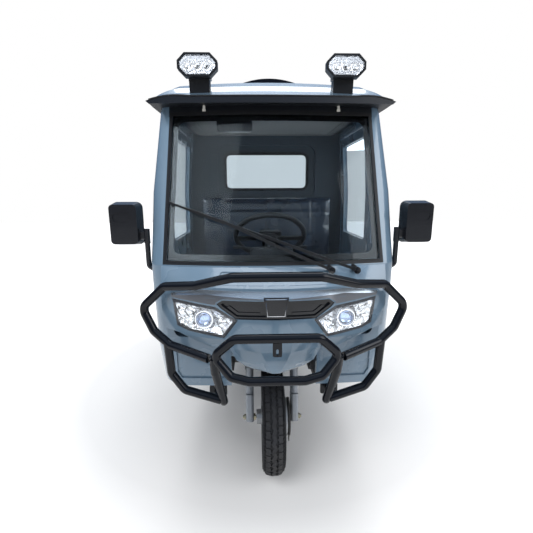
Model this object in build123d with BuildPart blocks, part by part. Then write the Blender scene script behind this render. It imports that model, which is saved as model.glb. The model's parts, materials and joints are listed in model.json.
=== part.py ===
from build123d import *
import os
from math import cos, radians, sin, sqrt, tan

os.makedirs("parts", exist_ok=True)

# An enclosed electric cargo tricycle, in millimetres. It faces -Y, +X is the driver's left, z is up
# from the ground. Lengthwise places are given as distances behind the front axle.

# Overall layout
wheelbase = 1960.0
front_overhang = 450.0
rear_overhang = 500.0
overall_length = front_overhang + wheelbase + rear_overhang
front_axle_y = front_overhang - overall_length / 2
running_gap = 0.05
clearance = 5.0
panel_gap = 0.3

# Wheels
front_tyre_r = 267.0
front_tyre_w = 108.0
rear_tyre_r = 280.0
rear_tyre_w = 122.0
rim_r = 152.0
rim_flange = 13.0
rim_wall = 5.0
rim_width = 86.0
well_depth = 22.0
rear_track = 880.0
axle_r = 7.5
front_hub_r = 36.0
rear_hub_r = 52.0
shaft_r = 17.5
drum_r = 92.0
disc_hole_r = 15.0
disc_hole_circle_r = 92.0

# Steering fork
rake_deg = 12.0
fork_offset = 35.0
leg_x = 114.0
leg_w = 40.0
leg_d = 58.0
leg_length = 262.0
leg_below = 20.0
stanchion_r = 16.0
crown_gap = 68.0
crown_t = 26.0
spindle_r = 17.5
head_length = 112.0
head_r = 28.0
nut_across = 26.0
nut_t = 10.0

# Cab shell: one row per level, as
# (z, half width, seam x, seam y, nose y, y where the side starts); the y values are behind the axle
cab_levels = [
    (440.0, 515.0, 400.0, -160.0, -172.0, 40.0),
    (600.0, 522.0, 425.0, -178.0, -192.0, 30.0),
    (730.0, 525.0, 456.0, -182.0, -202.0, -20.0),
    (990.0, 526.0, 466.0, -182.0, -214.0, -105.0),
    (1103.0, 527.0, 468.0, -182.0, -230.0, -100.0),
    (1400.0, 524.0, 462.3, -74.2, -118.0, -20.0),
    (1770.0, 497.0, 455.0, 60.0, 20.0, 98.0),
]
cab_rear = 800.0
cab_wall = 30.0
nose_sill_z = 552.0
side_sill_z = 440.0
screen_base_z = cab_levels[4][0]
cab_top_z = cab_levels[6][0]
seal_width = 14.0
screen_frame = 36.0
glass_t = 6.0
arch_half = 188.0
arch_top_z = 700.0

# Doors and side windows
door_front = 160.0
door_rear = 728.0
door_bottom_z = 500.0
door_top_z = 1718.0
door_gap = 10.0
door_corner_r = 40.0
window_base_z = 1150.0
window_top_z = 1672.0
door_frame_front = 62.0
door_frame_rear = 58.0
window_corner_r = 26.0
swage_depth = 4.0
swage_inset = 56.0
quarter_front = 8.0
quarter_rear = 112.0
quarter_drop = 60.0
quarter_set_back = 70.0
handle_drop = 110.0
hinge_r = 8.0
hinge_pin_r = 4.0
hinge_length = 90.0
hinge_heights = (620.0, 1020.0)

# Rear wall and its window
rear_window_w = 540.0
rear_window_z = (1420.0, 1648.0)
rear_window_r = 36.0
surround_w = 50.0
surround_depth = 12.0

# Floor, wheel house, seat and dashboard
floor_z = 500.0
floor_t = 20.0
tunnel_half = 205.0
tunnel_rear = 262.0
tunnel_z = 760.0
tunnel_wall = 8.0
seat_front = 272.0
seat_depth = 360.0
seat_half = 440.0
seat_base_z = 690.0
seat_box_wall = 8.0
cushion_half = 430.0
cushion_t = 112.0
backrest_top_z = 1384.0
backrest_t = 82.0
backrest_lean_deg = 4.0
battery = (600.0, 360.0, 160.0)
dash_rear = 60.0
dash_wall = 12.0
steering_wheel_r = 180.0
steering_wheel_tilt_deg = 42.0
steering_wheel_y = 234.0
steering_wheel_z = 1171.0
wheel_rim_r = 13.0
column_r = 30.0
column_length = 310.0

# Roof with its visor: one row per station, as
# (y behind the axle, half width, underside z, edge z, shoulder half width, shoulder z, crown z)
roof_stations = [
    (-66.0, 530.0, 1762.0, 1766.0, 330.0, 1781.0, 1787.0),
    (16.0, 536.0, 1770.3, 1786.0, 380.0, 1818.0, 1826.0),
    (70.0, 538.0, 1770.3, 1796.0, 404.0, 1850.0, 1860.0),
    (160.0, 537.0, 1770.3, 1804.0, 420.0, 1883.0, 1900.0),
    (420.0, 534.0, 1770.3, 1806.0, 424.0, 1888.0, 1909.0),
    (828.0, 528.0, 1770.3, 1800.0, 410.0, 1862.0, 1882.0),
]
visor_tip_y = -18.0
visor_nose_y = -60.0
shoulder_bulge = 10.0

# Fascia: one row per level, as (z, half width, edge y, nose y) behind the axle
fascia_levels = [
    (784.0, 448.0, -206.0, -322.0),
    (832.0, 456.0, -222.0, -346.0),
    (925.0, 462.0, -229.0, -354.0),
    (1000.0, 465.0, -228.0, -352.0),
    (1038.0, 466.0, -214.0, -334.0),
    (1102.0, 467.0, -190.0, -240.0),
]
fascia_wall = 24.0
brow_proud = 7.0
badge_proud = 10.0
lens_t = 5.0
lamp_depth = 60.0
reflector_wall = 8.0
projector_x, projector_z, projector_r = 284.0, 905.0, 38.0

# Nose panel: one row per level, as (z, half width, shoulder y, facet half width, front y)
nose_levels = [
    (683.0, 98.0, -276.0, 14.0, -326.0),
    (696.0, 122.0, -282.0, 20.0, -334.0),
    (727.0, 158.0, -292.0, 34.0, -343.0),
    (784.0, 182.0, -302.0, 58.0, -348.0),
    (831.5, 186.0, -306.0, 66.0, -343.0),
]
nose_wall = 10.0

# Work lamps, mirrors and bull bar
work_lamp_x = 307.0
work_lamp_z = 1910.0
work_lamp_w = 164.0
work_lamp_h = 90.0
work_lamp_depth = 100.0
work_lamp_front = -46.0
work_lamp_corner = 30.0
work_lamp_rim = 9.0
stem_w = 86.0
mirror_in, mirror_out = 560.0, 692.0
mirror_z = (1176.0, 1361.0)
mirror_y = -104.0
mirror_depth = 62.0
stalk_x = 541.0
bar_r = 17.5
bar_foot_w, bar_foot_h, bar_foot_t = 78.0, 52.0, 8.0

# Frame, axle and springs
rail_x = 250.0
rail_w = 40.0
rail_h = 70.0
rail_low_z = 410.0
kick_front = 820.0
kick_rear = 930.0
kick_rise = 110.0
spring_half = 400.0
spring_w = 50.0
spring_pad_z = 340.0
eye_z = 415.0
eye_r = 15.0
leaf_t = 9.0
leaf_lengths = (spring_half, 320.0, 230.0, 140.0)
axle_tube_r = 34.0
gearbox_r = 96.0

# Cargo bed
bed_front = 846.0
bed_half = 552.0
bed_floor_z = 640.0
bed_floor_t = 20.0
board_h = 300.0
board_t = 22.0
board_gap = 6.0
headboard_extra = 60.0
hinge_out = 10.0
cross_h = 30.0
bed_rear = wheelbase + rear_overhang - hinge_out - hinge_r
rail_rear = bed_rear - 24


def behind(distance):
    """The y of a place that lies this far behind the front axle."""
    return front_axle_y + distance


def finish(block, label):
    """Labels a finished sub-part and writes it to its own file."""
    block.part.label = label
    export_step(block.part, f"parts/{label}.step")


def take(*solids):
    """Cuts these solids from the sub-part that is being built."""
    for solid in solids:
        add(solid, mode=Mode.SUBTRACT)


def common(first, *others):
    """What these solids share."""
    with BuildPart(mode=Mode.PRIVATE) as shared:
        add(first)
        for other in others:
            add(other, mode=Mode.INTERSECT)
    return shared.part


def less(first, *others):
    """The first solid without the others."""
    with BuildPart(mode=Mode.PRIVATE) as rest:
        add(first)
        take(*others)
    return rest.part


def largest(solid):
    """The biggest of the pieces that a cut left."""
    return max(solid.solids(), key=lambda piece: piece.volume)


def side_profile(points, corner, x_from, x_to):
    """A prism across the vehicle with an outline drawn in side view, as (y behind the axle, z)."""
    with BuildPart(mode=Mode.PRIVATE) as prism:
        with BuildSketch(Plane.YZ.offset(x_from)) as outline:
            with BuildLine():
                Polyline(*[(behind(y), z) for y, z in points], close=True)
            make_face()
            if corner:
                fillet(outline.vertices(), corner)
        extrude(amount=x_to - x_from)
    return prism.part


def front_plane(y, x=0.0, z=0.0):
    """A plane that faces forwards at this distance behind the axle."""
    return Plane(origin=(x, behind(y), z), x_dir=(1, 0, 0), z_dir=(0, -1, 0))


def front_profile(points, corner, y_from, y_to):
    """A prism along the vehicle with an outline drawn in front view, as (x, z)."""
    with BuildPart(mode=Mode.PRIVATE) as prism:
        with BuildSketch(front_plane(y_from)) as outline:
            with BuildLine():
                Polyline(*points, close=True)
            make_face()
            if corner:
                fillet(outline.vertices(), corner)
        extrude(amount=y_from - y_to)
    return prism.part


def block(x_from, x_to, y_from, y_to, z_from, z_to):
    """A plain rectangular bar or plate."""
    with BuildPart(mode=Mode.PRIVATE) as bar:
        with BuildSketch(Plane.XY.offset(z_from)):
            with Locations(((x_from + x_to) / 2, behind((y_from + y_to) / 2))):
                Rectangle(x_to - x_from, y_to - y_from)
        extrude(amount=z_to - z_from)
    return bar.part


def across(x_from, x_to, radius, centre=(0.0, 0.0)):
    """A disc or sleeve about an axle between two x places."""
    with BuildPart(mode=Mode.PRIVATE) as disc:
        with BuildSketch(Plane.YZ.offset(x_from)):
            with Locations(centre):
                Circle(radius)
        extrude(amount=x_to - x_from)
    return disc.part


def tube_path(points, radius, bend):
    """A round tube that follows straight runs joined by bends."""
    with BuildPart(mode=Mode.PRIVATE) as bar:
        with BuildLine() as route:
            FilletPolyline(*points, radius=bend)
        with BuildSketch(Plane(origin=route.line @ 0, z_dir=route.line % 0)):
            Circle(radius)
        sweep()
    return bar.part


# Cab shell

def level_at(z):
    """The cab's level values at any height between the table's rows."""
    for low, high in zip(cab_levels, cab_levels[1:]):
        if low[0] <= z <= high[0]:
            share = (z - low[0]) / (high[0] - low[0])
            return tuple(a + (b - a) * share for a, b in zip(low, high))
    return cab_levels[-1] if z > cab_levels[-1][0] else cab_levels[0]


def cab_loft(inset):
    """The closed body inside the cab's outer skin, set in by a wall's thickness."""
    with BuildPart(mode=Mode.PRIVATE) as body:
        for z, half, seam_x, seam_y, nose_y, side_y in cab_levels:
            right, front = half - inset, behind(seam_y) + inset
            seam = seam_x - inset * 0.6
            rear = behind(cab_rear) - inset
            side = behind(side_y) + inset * 0.3
            bulge_x = (seam + right) / 2 + 0.16 * (side - front)
            bulge_y = (front + side) / 2 - 0.16 * (right - seam)
            with BuildSketch(Plane.XY.offset(z)):
                with BuildLine():
                    ThreePointArc((-seam, front), (0, behind(nose_y) + inset), (seam, front))
                    ThreePointArc((seam, front), (bulge_x, bulge_y), (right, side))
                    Polyline((right, side), (right, rear), (-right, rear), (-right, side))
                    ThreePointArc((-right, side), (-bulge_x, bulge_y), (-seam, front))
                make_face()
        loft(ruled=True)
    return body.part


def screen_sheet(z_low, z_high, margin, depth, thickness):
    """A sheet that follows the screen's bowed and sloping face, set in from its edges."""
    with BuildPart(mode=Mode.PRIVATE) as sheet:
        for z in (z_low, z_high):
            level = level_at(z)
            half, edge, nose = level[2] - margin, behind(level[3]) + depth, behind(level[4]) + depth
            with BuildSketch(Plane.XY.offset(z)):
                with BuildLine():
                    ThreePointArc((-half, edge), (0, nose), (half, edge))
                    Line((half, edge), (half, edge + thickness))
                    ThreePointArc((half, edge + thickness), (0, nose + thickness), (-half, edge + thickness))
                    Line((-half, edge + thickness), (-half, edge))
                make_face()
        loft(ruled=True)
    return sheet.part


def framed(front, rear, low, high, grow=0.0):
    """A rectangle in side view, grown on every side."""
    return [(front - grow, low - grow), (front - grow, high + grow), (rear + grow, high + grow), (rear + grow, low - grow)]


reach = 600.0
inside = 380.0
cab_outer = cab_loft(0)
cab_inner = cab_loft(cab_wall)
cab_shell = less(cab_outer, cab_inner)
door_outline = framed(door_front, door_rear, door_bottom_z, door_top_z)
window_outline = framed(door_front + door_frame_front, door_rear - door_frame_rear, window_base_z, window_top_z)


def quarter_outline(grow):
    """The small window ahead of the door: its front edge follows the screen pillar."""
    top = window_top_z - quarter_drop
    lean_y = level_at(top)[3] + quarter_set_back
    return [(quarter_front - grow, window_base_z - grow), (lean_y - grow, top + grow),
            (quarter_rear + grow, top + grow), (quarter_rear + grow, window_base_z - grow)]


# Windscreen and its rubber seal, seated in a rebate of the cab frame
screen_low = screen_base_z + 4
screen_high = cab_top_z - 26
seal_margin = 6.0
glass_depth = 2.0
with BuildPart() as windscreen_glass:
    add(screen_sheet(screen_low + seal_width, screen_high - seal_width, seal_width + seal_margin, glass_depth, glass_t))
finish(windscreen_glass, "windscreen_glass")

with BuildPart() as windscreen_seal:
    add(screen_sheet(screen_low, screen_high, seal_margin, -1.0, glass_t + 9))
    take(screen_sheet(screen_low + seal_width - panel_gap, screen_high - seal_width + panel_gap,
                      seal_width + seal_margin - panel_gap, -6.0, 40.0))
finish(windscreen_seal, "windscreen_seal")

# Door hinges: frame knuckles with their pin, and the door's knuckle between them
widest = max(level[1] for level in cab_levels)
hinge_x = widest + hinge_r + 1
hinge_y = door_front - door_gap / 2
knuckle = hinge_length / 3


def hinge_leaf(z_low, z_high, skin, side, bore):
    """A knuckle and its leaf on the left side; side is -1 on the frame and 1 on the door."""
    with BuildPart(mode=Mode.PRIVATE) as leaf:
        with BuildSketch(Plane.XY.offset(z_low)):
            with Locations(((skin + hinge_x) / 2 - 2, behind(hinge_y) + side * 14)):
                Rectangle(hinge_x - skin + 4, 22)
            with Locations((hinge_x, behind(hinge_y))):
                Circle(hinge_r)
                if bore:
                    Circle(hinge_pin_r + running_gap, mode=Mode.SUBTRACT)
        extrude(amount=z_high - z_low)
        take(cab_outer)
    return leaf.part


def frame_hinge(z):
    """The frame's two knuckles and the pin at one height."""
    skin = level_at(z)[1]
    with BuildPart(mode=Mode.PRIVATE) as hinge:
        add(hinge_leaf(z - 1.5 * knuckle, z - 0.5 * knuckle - 0.5, skin, -1, False))
        add(hinge_leaf(z + 0.5 * knuckle + 0.5, z + 1.5 * knuckle, skin, -1, False))
        with BuildSketch(Plane.XY.offset(z - 1.5 * knuckle)):
            with Locations((hinge_x, behind(hinge_y))):
                Circle(hinge_pin_r)
        extrude(amount=hinge_length)
    return hinge.part


# Front lower panels: the sunk skins either side of the wheel arch
def lower_panel_outline(side):
    points = [(arch_half, nose_sill_z), (424, nose_sill_z), (452, 602), (452, 786), (arch_half, 786)]
    return [(side * x, z) for x, z in points]


def lower_recess_outline(side):
    points = [(214, 590), (408, 590), (426, 622), (426, 758), (214, 758)]
    return [(side * x, z) for x, z in points]


below_nose = side_profile(
    [(-400, side_sill_z - 10), (-400, nose_sill_z), (30, nose_sill_z), (80, side_sill_z - 10)], 0, -reach, reach)
with BuildPart() as front_lower_panels:
    for side in (-1, 1):
        add(common(cab_shell, front_profile(lower_panel_outline(side), 0, -100, -300)))
    take(below_nose)
    for side in (-1, 1):
        take(common(less(cab_shell, cab_loft(8)), front_profile(lower_recess_outline(side), 0, -100, -300)))
finish(front_lower_panels, "front_lower_panels")

# Side frames, screen pillars, header and front wall in one welded frame
rear_edge = cab_rear - cab_wall - panel_gap
rear_space = side_profile(
    [(rear_edge, floor_z - floor_t), (rear_edge, cab_top_z + 10), (cab_rear + 10, cab_top_z + 10),
     (cab_rear + 10, floor_z - floor_t)], 0, -reach, reach)
with BuildPart() as cab_frame:
    add(cab_shell)
    for side in (-1, 1):
        door_opening = framed(door_front, door_rear, door_bottom_z, door_top_z, door_gap)
        take(side_profile(door_opening, door_corner_r, side * inside, side * reach))
        take(side_profile(quarter_outline(0), 12.0, side * inside, side * reach))
    take(screen_sheet(screen_low - panel_gap, screen_high + panel_gap, seal_margin - panel_gap, -30.0, 38.3 + glass_t))
    take(screen_sheet(screen_low + screen_frame, screen_high - screen_frame, screen_frame + seal_margin, -40.0, 160.0))
    take(rear_space)
    take(side_profile([(rear_edge - 40, side_sill_z - 10), (rear_edge - 40, floor_z - floor_t),
                       (cab_rear + 10, floor_z - floor_t), (cab_rear + 10, side_sill_z - 10)], 0, -inside, inside))
    take(below_nose)
    take(front_profile([(-arch_half, 400), (-arch_half, arch_top_z), (arch_half, arch_top_z), (arch_half, 400)],
                       0, -100, -300))
    take(front_profile([(-430, arch_top_z + 90), (-430, screen_base_z - 40), (430, screen_base_z - 40),
                        (430, arch_top_z + 90)], 30.0, -100, -300))
    for side in (-1, 1):
        take(front_profile(lower_panel_outline(side), 0, -100, -300))
    for z in hinge_heights:
        hinge = frame_hinge(z)
        add(hinge)
        add(mirror(hinge, about=Plane.YZ))
finish(cab_frame, "cab_frame")

# Rear wall with its stepped window surround
window_mid_z = sum(rear_window_z) / 2
window_h = rear_window_z[1] - rear_window_z[0]
with BuildPart() as cab_rear_wall:
    add(common(cab_outer, rear_space))
    with BuildSketch(front_plane(cab_rear + 20, z=window_mid_z)):
        RectangleRounded(rear_window_w, window_h, rear_window_r)
    extrude(amount=90, mode=Mode.SUBTRACT)
    with BuildSketch(front_plane(cab_rear - cab_wall + surround_depth, z=window_mid_z)):
        RectangleRounded(rear_window_w + 2 * surround_w, window_h + 2 * surround_w, rear_window_r + surround_w / 2)
    extrude(amount=surround_depth + 5, mode=Mode.SUBTRACT)
    for low, high in ((560, 700), (760, 1340)):
        with BuildSketch(front_plane(cab_rear + 1, z=(low + high) / 2)):
            RectangleRounded(760, high - low, 30)
        extrude(amount=7, mode=Mode.SUBTRACT)
finish(cab_rear_wall, "cab_rear_wall")

with BuildPart() as rear_window_glass:
    with BuildSketch(front_plane(cab_rear - 6, z=window_mid_z)):
        RectangleRounded(rear_window_w - 2 * panel_gap, window_h - 2 * panel_gap, rear_window_r - panel_gap)
    extrude(amount=glass_t)
finish(rear_window_glass, "rear_window_glass")

# Doors: the shell's own skin inside the door outline, with its window, swage, handle and knuckles
swage_outline = framed(door_front, door_rear, door_bottom_z, window_base_z - 150, -swage_inset)
with BuildPart() as door:
    add(common(side_profile(door_outline, door_corner_r - door_gap, inside, reach), cab_shell))
    take(side_profile(window_outline, window_corner_r, inside, reach))
    take(common(less(cab_shell, cab_loft(swage_depth)), side_profile(swage_outline, 34.0, inside, reach)))
    for z in hinge_heights:
        add(hinge_leaf(z - knuckle / 2, z + knuckle / 2, level_at(z)[1], 1, True))
    with BuildSketch(Plane.YZ.offset(level_at(window_base_z - handle_drop)[1] - 2)):
        with Locations((behind(door_rear - 90), window_base_z - handle_drop)):
            RectangleRounded(120, 26, 10)
    extrude(amount=24, taper=18)
with BuildPart() as door_left:
    add(door.part)
finish(door_left, "door_left")
with BuildPart() as door_right:
    add(mirror(door.part, about=Plane.YZ))
finish(door_right, "door_right")

glass_shell = less(cab_loft(cab_wall / 2), cab_loft(cab_wall / 2 + glass_t))
pane_outline = framed(door_front + door_frame_front, door_rear - door_frame_rear, window_base_z, window_top_z, -panel_gap)
with BuildPart() as door_glass_left:
    add(common(side_profile(pane_outline, window_corner_r - panel_gap, inside, reach), glass_shell))
finish(door_glass_left, "door_glass_left")
with BuildPart() as door_glass_right:
    add(mirror(door_glass_left.part, about=Plane.YZ))
finish(door_glass_right, "door_glass_right")
with BuildPart() as quarter_glasses:
    add(common(side_profile(quarter_outline(-panel_gap), 11.7, inside, reach), glass_shell))
    mirror(about=Plane.YZ)
finish(quarter_glasses, "quarter_glasses")

# Roof: sections along the vehicle, trimmed in plan so that the visor's lip is bowed
with BuildPart() as roof_panel:
    for y, half, under_z, edge_z, shoulder, shoulder_z, crown_z in roof_stations:
        with BuildSketch(front_plane(y)):
            with BuildLine():
                Polyline((-half, edge_z), (-half + 12, under_z), (half - 12, under_z), (half, edge_z))
                mid_x, mid_z = (half + shoulder) / 2 + shoulder_bulge / 2, (edge_z + shoulder_z) / 2 + shoulder_bulge
                ThreePointArc((half, edge_z), (mid_x, mid_z), (shoulder, shoulder_z))
                ThreePointArc((shoulder, shoulder_z), (0, crown_z), (-shoulder, shoulder_z))
                ThreePointArc((-shoulder, shoulder_z), (-mid_x, mid_z), (-half, edge_z))
            make_face()
    loft(ruled=True)
    with BuildSketch(Plane.XY.offset(cab_top_z - 60)):
        with BuildLine():
            ThreePointArc((-560, behind(visor_tip_y)), (0, behind(visor_nose_y)), (560, behind(visor_tip_y)))
            Polyline((560, behind(visor_tip_y)), (560, behind(cab_rear)))
            ThreePointArc((560, behind(cab_rear)), (0, behind(cab_rear + 26)), (-560, behind(cab_rear)))
            Line((-560, behind(cab_rear)), (-560, behind(visor_tip_y)))
        make_face()
    extrude(amount=300, mode=Mode.INTERSECT)
finish(roof_panel, "roof_panel")

# Low arched trim strip on the roof
with BuildPart() as roof_strip:
    with BuildSketch(front_plane(330)):
        with BuildLine():
            ThreePointArc((-238, 1884), (0, 1958), (238, 1884))
            Line((238, 1884), (-238, 1884))
        make_face()
    extrude(amount=34)
    take(roof_panel.part)
finish(roof_strip, "roof_strip")


# Fascia: the moulded front panel below the screen, hollow and open at the back

def fascia_loft(inset):
    """The closed body inside the fascia's outer skin, set in (or out, when negative)."""
    with BuildPart(mode=Mode.PRIVATE) as body:
        for z, half, edge_y, nose_y in fascia_levels:
            half_in = half - inset
            edge, nose = behind(edge_y) + inset, behind(nose_y) + inset
            with BuildSketch(Plane.XY.offset(z)):
                with BuildLine():
                    ThreePointArc((-half_in, edge), (0, nose), (half_in, edge))
                    Polyline((half_in, edge), (half_in, behind(-120)), (-half_in, behind(-120)), (-half_in, edge))
                make_face()
        loft(ruled=True)
    return body.part


def through_front(points):
    return front_profile(points, 0, -120, -420)


def fascia_band(points, low, high):
    """The slice of the fascia between two insets that lies inside an outline in front view."""
    return common(less(fascia_loft(low), fascia_loft(high)), through_front(points))


def mirrored(points):
    return [(-x, z) for x, z in reversed(points)]


def grown(points, amount):
    """An outline moved outwards, or inwards when negative, by this much."""
    with BuildSketch(mode=Mode.PRIVATE) as outline:
        with BuildLine():
            Polyline(*points, close=True)
        make_face()
        offset(amount=amount, kind=Kind.INTERSECTION)
    corners = [edge.vertices()[0] for edge in outline.face().outer_wire().order_edges()]
    return [(corner.X, corner.Y) for corner in corners]


lamp_outline = [(412, 984), (398, 870), (352, 854), (202, 838), (147, 916), (234, 966)]
lamp_outlines = ((1, lamp_outline), (-1, mirrored(lamp_outline)))
grille_outline = [(-154, 920), (-214, 962), (-230, 978), (-206, 994), (206, 994), (230, 978), (214, 962), (154, 920)]
brow_outline = [
    (-414, 1000), (-272, 1014), (-60, 1004), (60, 1004), (272, 1014), (414, 1000),
    (416, 1008), (280, 1031), (60, 1030), (-60, 1030), (-280, 1031), (-416, 1008),
]
badge_outline = [(-38, 930), (-48, 1010), (48, 1010), (38, 930)]
below_bumper = [
    (480, 850), (394, 841), (255, 785), (186.5, 785), (186.5, 832),
    (-186.5, 832), (-186.5, 785), (-255, 785), (-394, 841), (-480, 850), (-480, 700), (480, 700),
]
bonnet_dish = [(-238, 1046), (-214, 1088), (214, 1088), (238, 1046)]
with BuildPart(mode=Mode.PRIVATE) as fascia_body:
    add(fascia_loft(0))
    take(fascia_loft(fascia_wall))
    for outline in (lamp_outline, mirrored(lamp_outline), grille_outline, below_bumper):
        take(through_front(outline))
    take(common(less(fascia_loft(-5), fascia_loft(6)), front_profile(bonnet_dish, 0, -190, -400)))
    take(cab_outer)
with BuildPart() as front_fascia:
    add(largest(fascia_body.part))
finish(front_fascia, "front_fascia")

with BuildPart() as brow_trim:
    add(fascia_band(brow_outline, -brow_proud, 0))
    take(fascia_band(badge_outline, -badge_proud, 0))
finish(brow_trim, "brow_trim")

grille_field = grown(grille_outline, -11)
with BuildPart() as grille_panel:
    add(fascia_band(grille_outline, 3, fascia_wall))
    take(less(through_front(grille_field), fascia_loft(14)))
    for side in (1, -1):
        hook = [(side * x, z) for x, z in ((62, 936), (150, 936), (190, 966), (178, 970), (146, 946), (62, 946))]
        add(fascia_band(hook, 9, 16))
    add(fascia_band(badge_outline, -badge_proud, 0))
    add(common(fascia_band(badge_outline, 0, 16), through_front(grille_outline)))
    take(less(through_front(grown(badge_outline, -5)), fascia_loft(-badge_proud + 3)))
    take(brow_trim.part)
    for side, outline in lamp_outlines:
        take(through_front(outline))
finish(grille_panel, "grille_panel")

with BuildPart() as headlamp_lenses:
    for side, outline in lamp_outlines:
        add(fascia_band(outline, 0, lens_t))
finish(headlamp_lenses, "headlamp_lenses")

with BuildPart() as headlamp_housings:
    for side, outline in lamp_outlines:
        add(fascia_band(outline, lens_t, lamp_depth))
        take(less(through_front(grown(outline, -reflector_wall)), fascia_loft(lamp_depth - 10)))
        with BuildSketch(front_plane(-222, side * projector_x, projector_z)):
            Circle(projector_r)
        extrude(amount=54)
    take(cab_outer)
finish(headlamp_housings, "headlamp_housings")


def nose_loft(inset):
    """The three-faceted bowl over the wheel, set in by a wall's thickness."""
    with BuildPart(mode=Mode.PRIVATE) as bowl:
        for z, half, shoulder_y, facet, front_y in nose_levels:
            w, shoulder, front = half - inset, behind(shoulder_y) + inset, behind(front_y) + inset
            with BuildSketch(Plane.XY.offset(z)):
                with BuildLine():
                    Polyline((-w, behind(-120)), (-w, shoulder), (-facet, front), (facet, front),
                             (w, shoulder), (w, behind(-120)), close=True)
                make_face()
        loft(ruled=True)
    return bowl.part


with BuildPart() as nose_panel:
    add(largest(less(nose_loft(0), nose_loft(nose_wall), cab_outer)))
finish(nose_panel, "nose_panel")

# Bull bar: round tube, one loop around the front, one ring in its middle, and its stays.
# Points are (x, y behind the axle, z) at the tube's corners.
bar_loop = [
    (0, -432.5, 1108), (160, -426, 1106), (300, -362, 1062), (432, -290, 1042), (537, -250, 943),
    (490, -270, 852), (424, -292, 800), (259, -380, 780),
]
bar_ring = [(0, -425, 876), (158, -425, 876), (238, -395, 796), (172, -418, 722), (105, -426, 707), (0, -426, 707)]
bar_post = [
    (238, -395, 790), (236, -374, 720), (213, -300, 545), (226, -250, 532), (rail_x, -210, 526), (rail_x, -178, 526),
]
bar_stay = [(433, -289, 808), (424, -292, 676), (372, -298, 604), (224, -312, 562)]
tab_z = 838.0


def placed(points, side=1):
    return [(side * x, behind(y), z) for x, y, z in points]


with BuildPart() as bull_bar:
    add(tube_path(placed(reversed(bar_loop[1:]), -1) + placed(bar_loop), bar_r, 38))
    for side in (1, -1):
        add(tube_path(placed(bar_post, side), bar_r, 26))
        add(tube_path(placed(bar_stay, side), bar_r, 34))
        with BuildSketch(front_plane(-170, side * rail_x, 526)):
            RectangleRounded(bar_foot_w, bar_foot_h, 8)
        extrude(amount=bar_foot_t)
    for side in (1, -1):
        add(tube_path(placed(bar_ring, side), bar_r, 30))
    with BuildSketch(front_plane(-425, 0, tab_z)):
        RectangleRounded(34, 64, 6)
        with Locations((0, -14)):
            SlotOverall(24, 10, rotation=90, mode=Mode.SUBTRACT)
    extrude(amount=6, both=True)
finish(bull_bar, "bull_bar")

# Mirrors on stalks ahead of the doors
mirror_plane = front_plane(mirror_y + mirror_depth / 2, (mirror_in + mirror_out) / 2, sum(mirror_z) / 2)
mirror_w, mirror_h = mirror_out - mirror_in, mirror_z[1] - mirror_z[0]
mirror_rim = 10.0
with BuildPart() as mirror_glasses:
    with BuildSketch(mirror_plane.offset(3)):
        RectangleRounded(mirror_w - 2 * mirror_rim - 0.4, mirror_h - 2 * mirror_rim - 0.4, 17.8)
    extrude(amount=5)
    mirror(about=Plane.YZ)
finish(mirror_glasses, "mirror_glasses")

with BuildPart() as mirror_housings:
    with BuildSketch(mirror_plane):
        RectangleRounded(mirror_w, mirror_h, 26)
    extrude(amount=mirror_depth, taper=9)
    with BuildSketch(mirror_plane):
        RectangleRounded(mirror_w - 2 * mirror_rim, mirror_h - 2 * mirror_rim, 18)
    extrude(amount=8, mode=Mode.SUBTRACT)
    with BuildSketch(mirror_plane.offset(mirror_depth - 3)):
        with Locations((6, 30)):
            SlotOverall(74, 40)
    extrude(amount=3, mode=Mode.SUBTRACT)
    with BuildSketch(Plane.XY.offset(mirror_z[0] + 10)):
        with Locations((stalk_x, behind(mirror_y))):
            Circle(13)
    extrude(amount=62)
    with BuildSketch(Plane.YZ.offset(stalk_x)):
        with Locations((behind(mirror_y), mirror_z[0] + 46)):
            RectangleRounded(20, 40, 6)
    extrude(amount=mirror_in - stalk_x + mirror_rim)
    take(mirror_glasses.part)
    add(less(tube_path([(stalk_x, behind(mirror_y), mirror_z[0] + 14), (stalk_x, behind(mirror_y), 1086),
                        (500, behind(mirror_y), 1060)], 11, 16), cab_outer))
    mirror(about=Plane.YZ)
finish(mirror_housings, "mirror_housings")


def on_screen(x, z, out):
    """A point this far in front of the screen's outer face."""
    level = level_at(z)
    return (x, behind(level[4] + (level[3] - level[4]) * (x / level[2]) ** 2 - out), z)


def bar_between(first, last, width, thickness):
    """A straight flat bar from one point to another, its thickness square to the screen."""
    start, end = Vector(first), Vector(last)
    with BuildPart(mode=Mode.PRIVATE) as bar:
        with BuildSketch(Plane(origin=start, x_dir=(0, 1, 0), z_dir=end - start)):
            Rectangle(thickness, width)
        extrude(amount=(end - start).length)
    return bar.part


# Wiper, parked across the screen: two rods, a spine and a blade, each bent once to follow the glass
blade_from, blade_to = (-440.0, 1358.0), (-1.0, 1209.0)
blade_mid = tuple((a + b) / 2 for a, b in zip(blade_from, blade_to))
wiper_rods = (((225.0, 1094.0), (-212.0, 1283.0), 19), ((326.0, 1094.0), (-48.0, 1227.0), 16))
with BuildPart(mode=Mode.PRIVATE) as wiper_body:
    add(bar_between(on_screen(*blade_from, 10), on_screen(*blade_mid, 10), 9, 12))
    add(bar_between(on_screen(*blade_mid, 10), on_screen(*blade_to, 10), 9, 12))
    add(bar_between(on_screen(-330, 1321, 16), on_screen(*blade_mid, 22), 12, 8))
    add(bar_between(on_screen(*blade_mid, 22), on_screen(-110, 1246, 16), 12, 8))
    for (x, z), joint, joint_out in wiper_rods:
        middle = on_screen((x + joint[0]) / 2, (z + joint[1]) / 2, 34)
        add(bar_between((x, behind(-258), z), middle, 11, 8))
        add(bar_between(middle, on_screen(*joint, joint_out), 11, 8))
        with BuildSketch(Plane(origin=(x, behind(-272), z), x_dir=(1, 0, 0), z_dir=(0, 1, 0))):
            Circle(13)
        extrude(amount=90)
    take(front_fascia.part, cab_outer)
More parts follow.
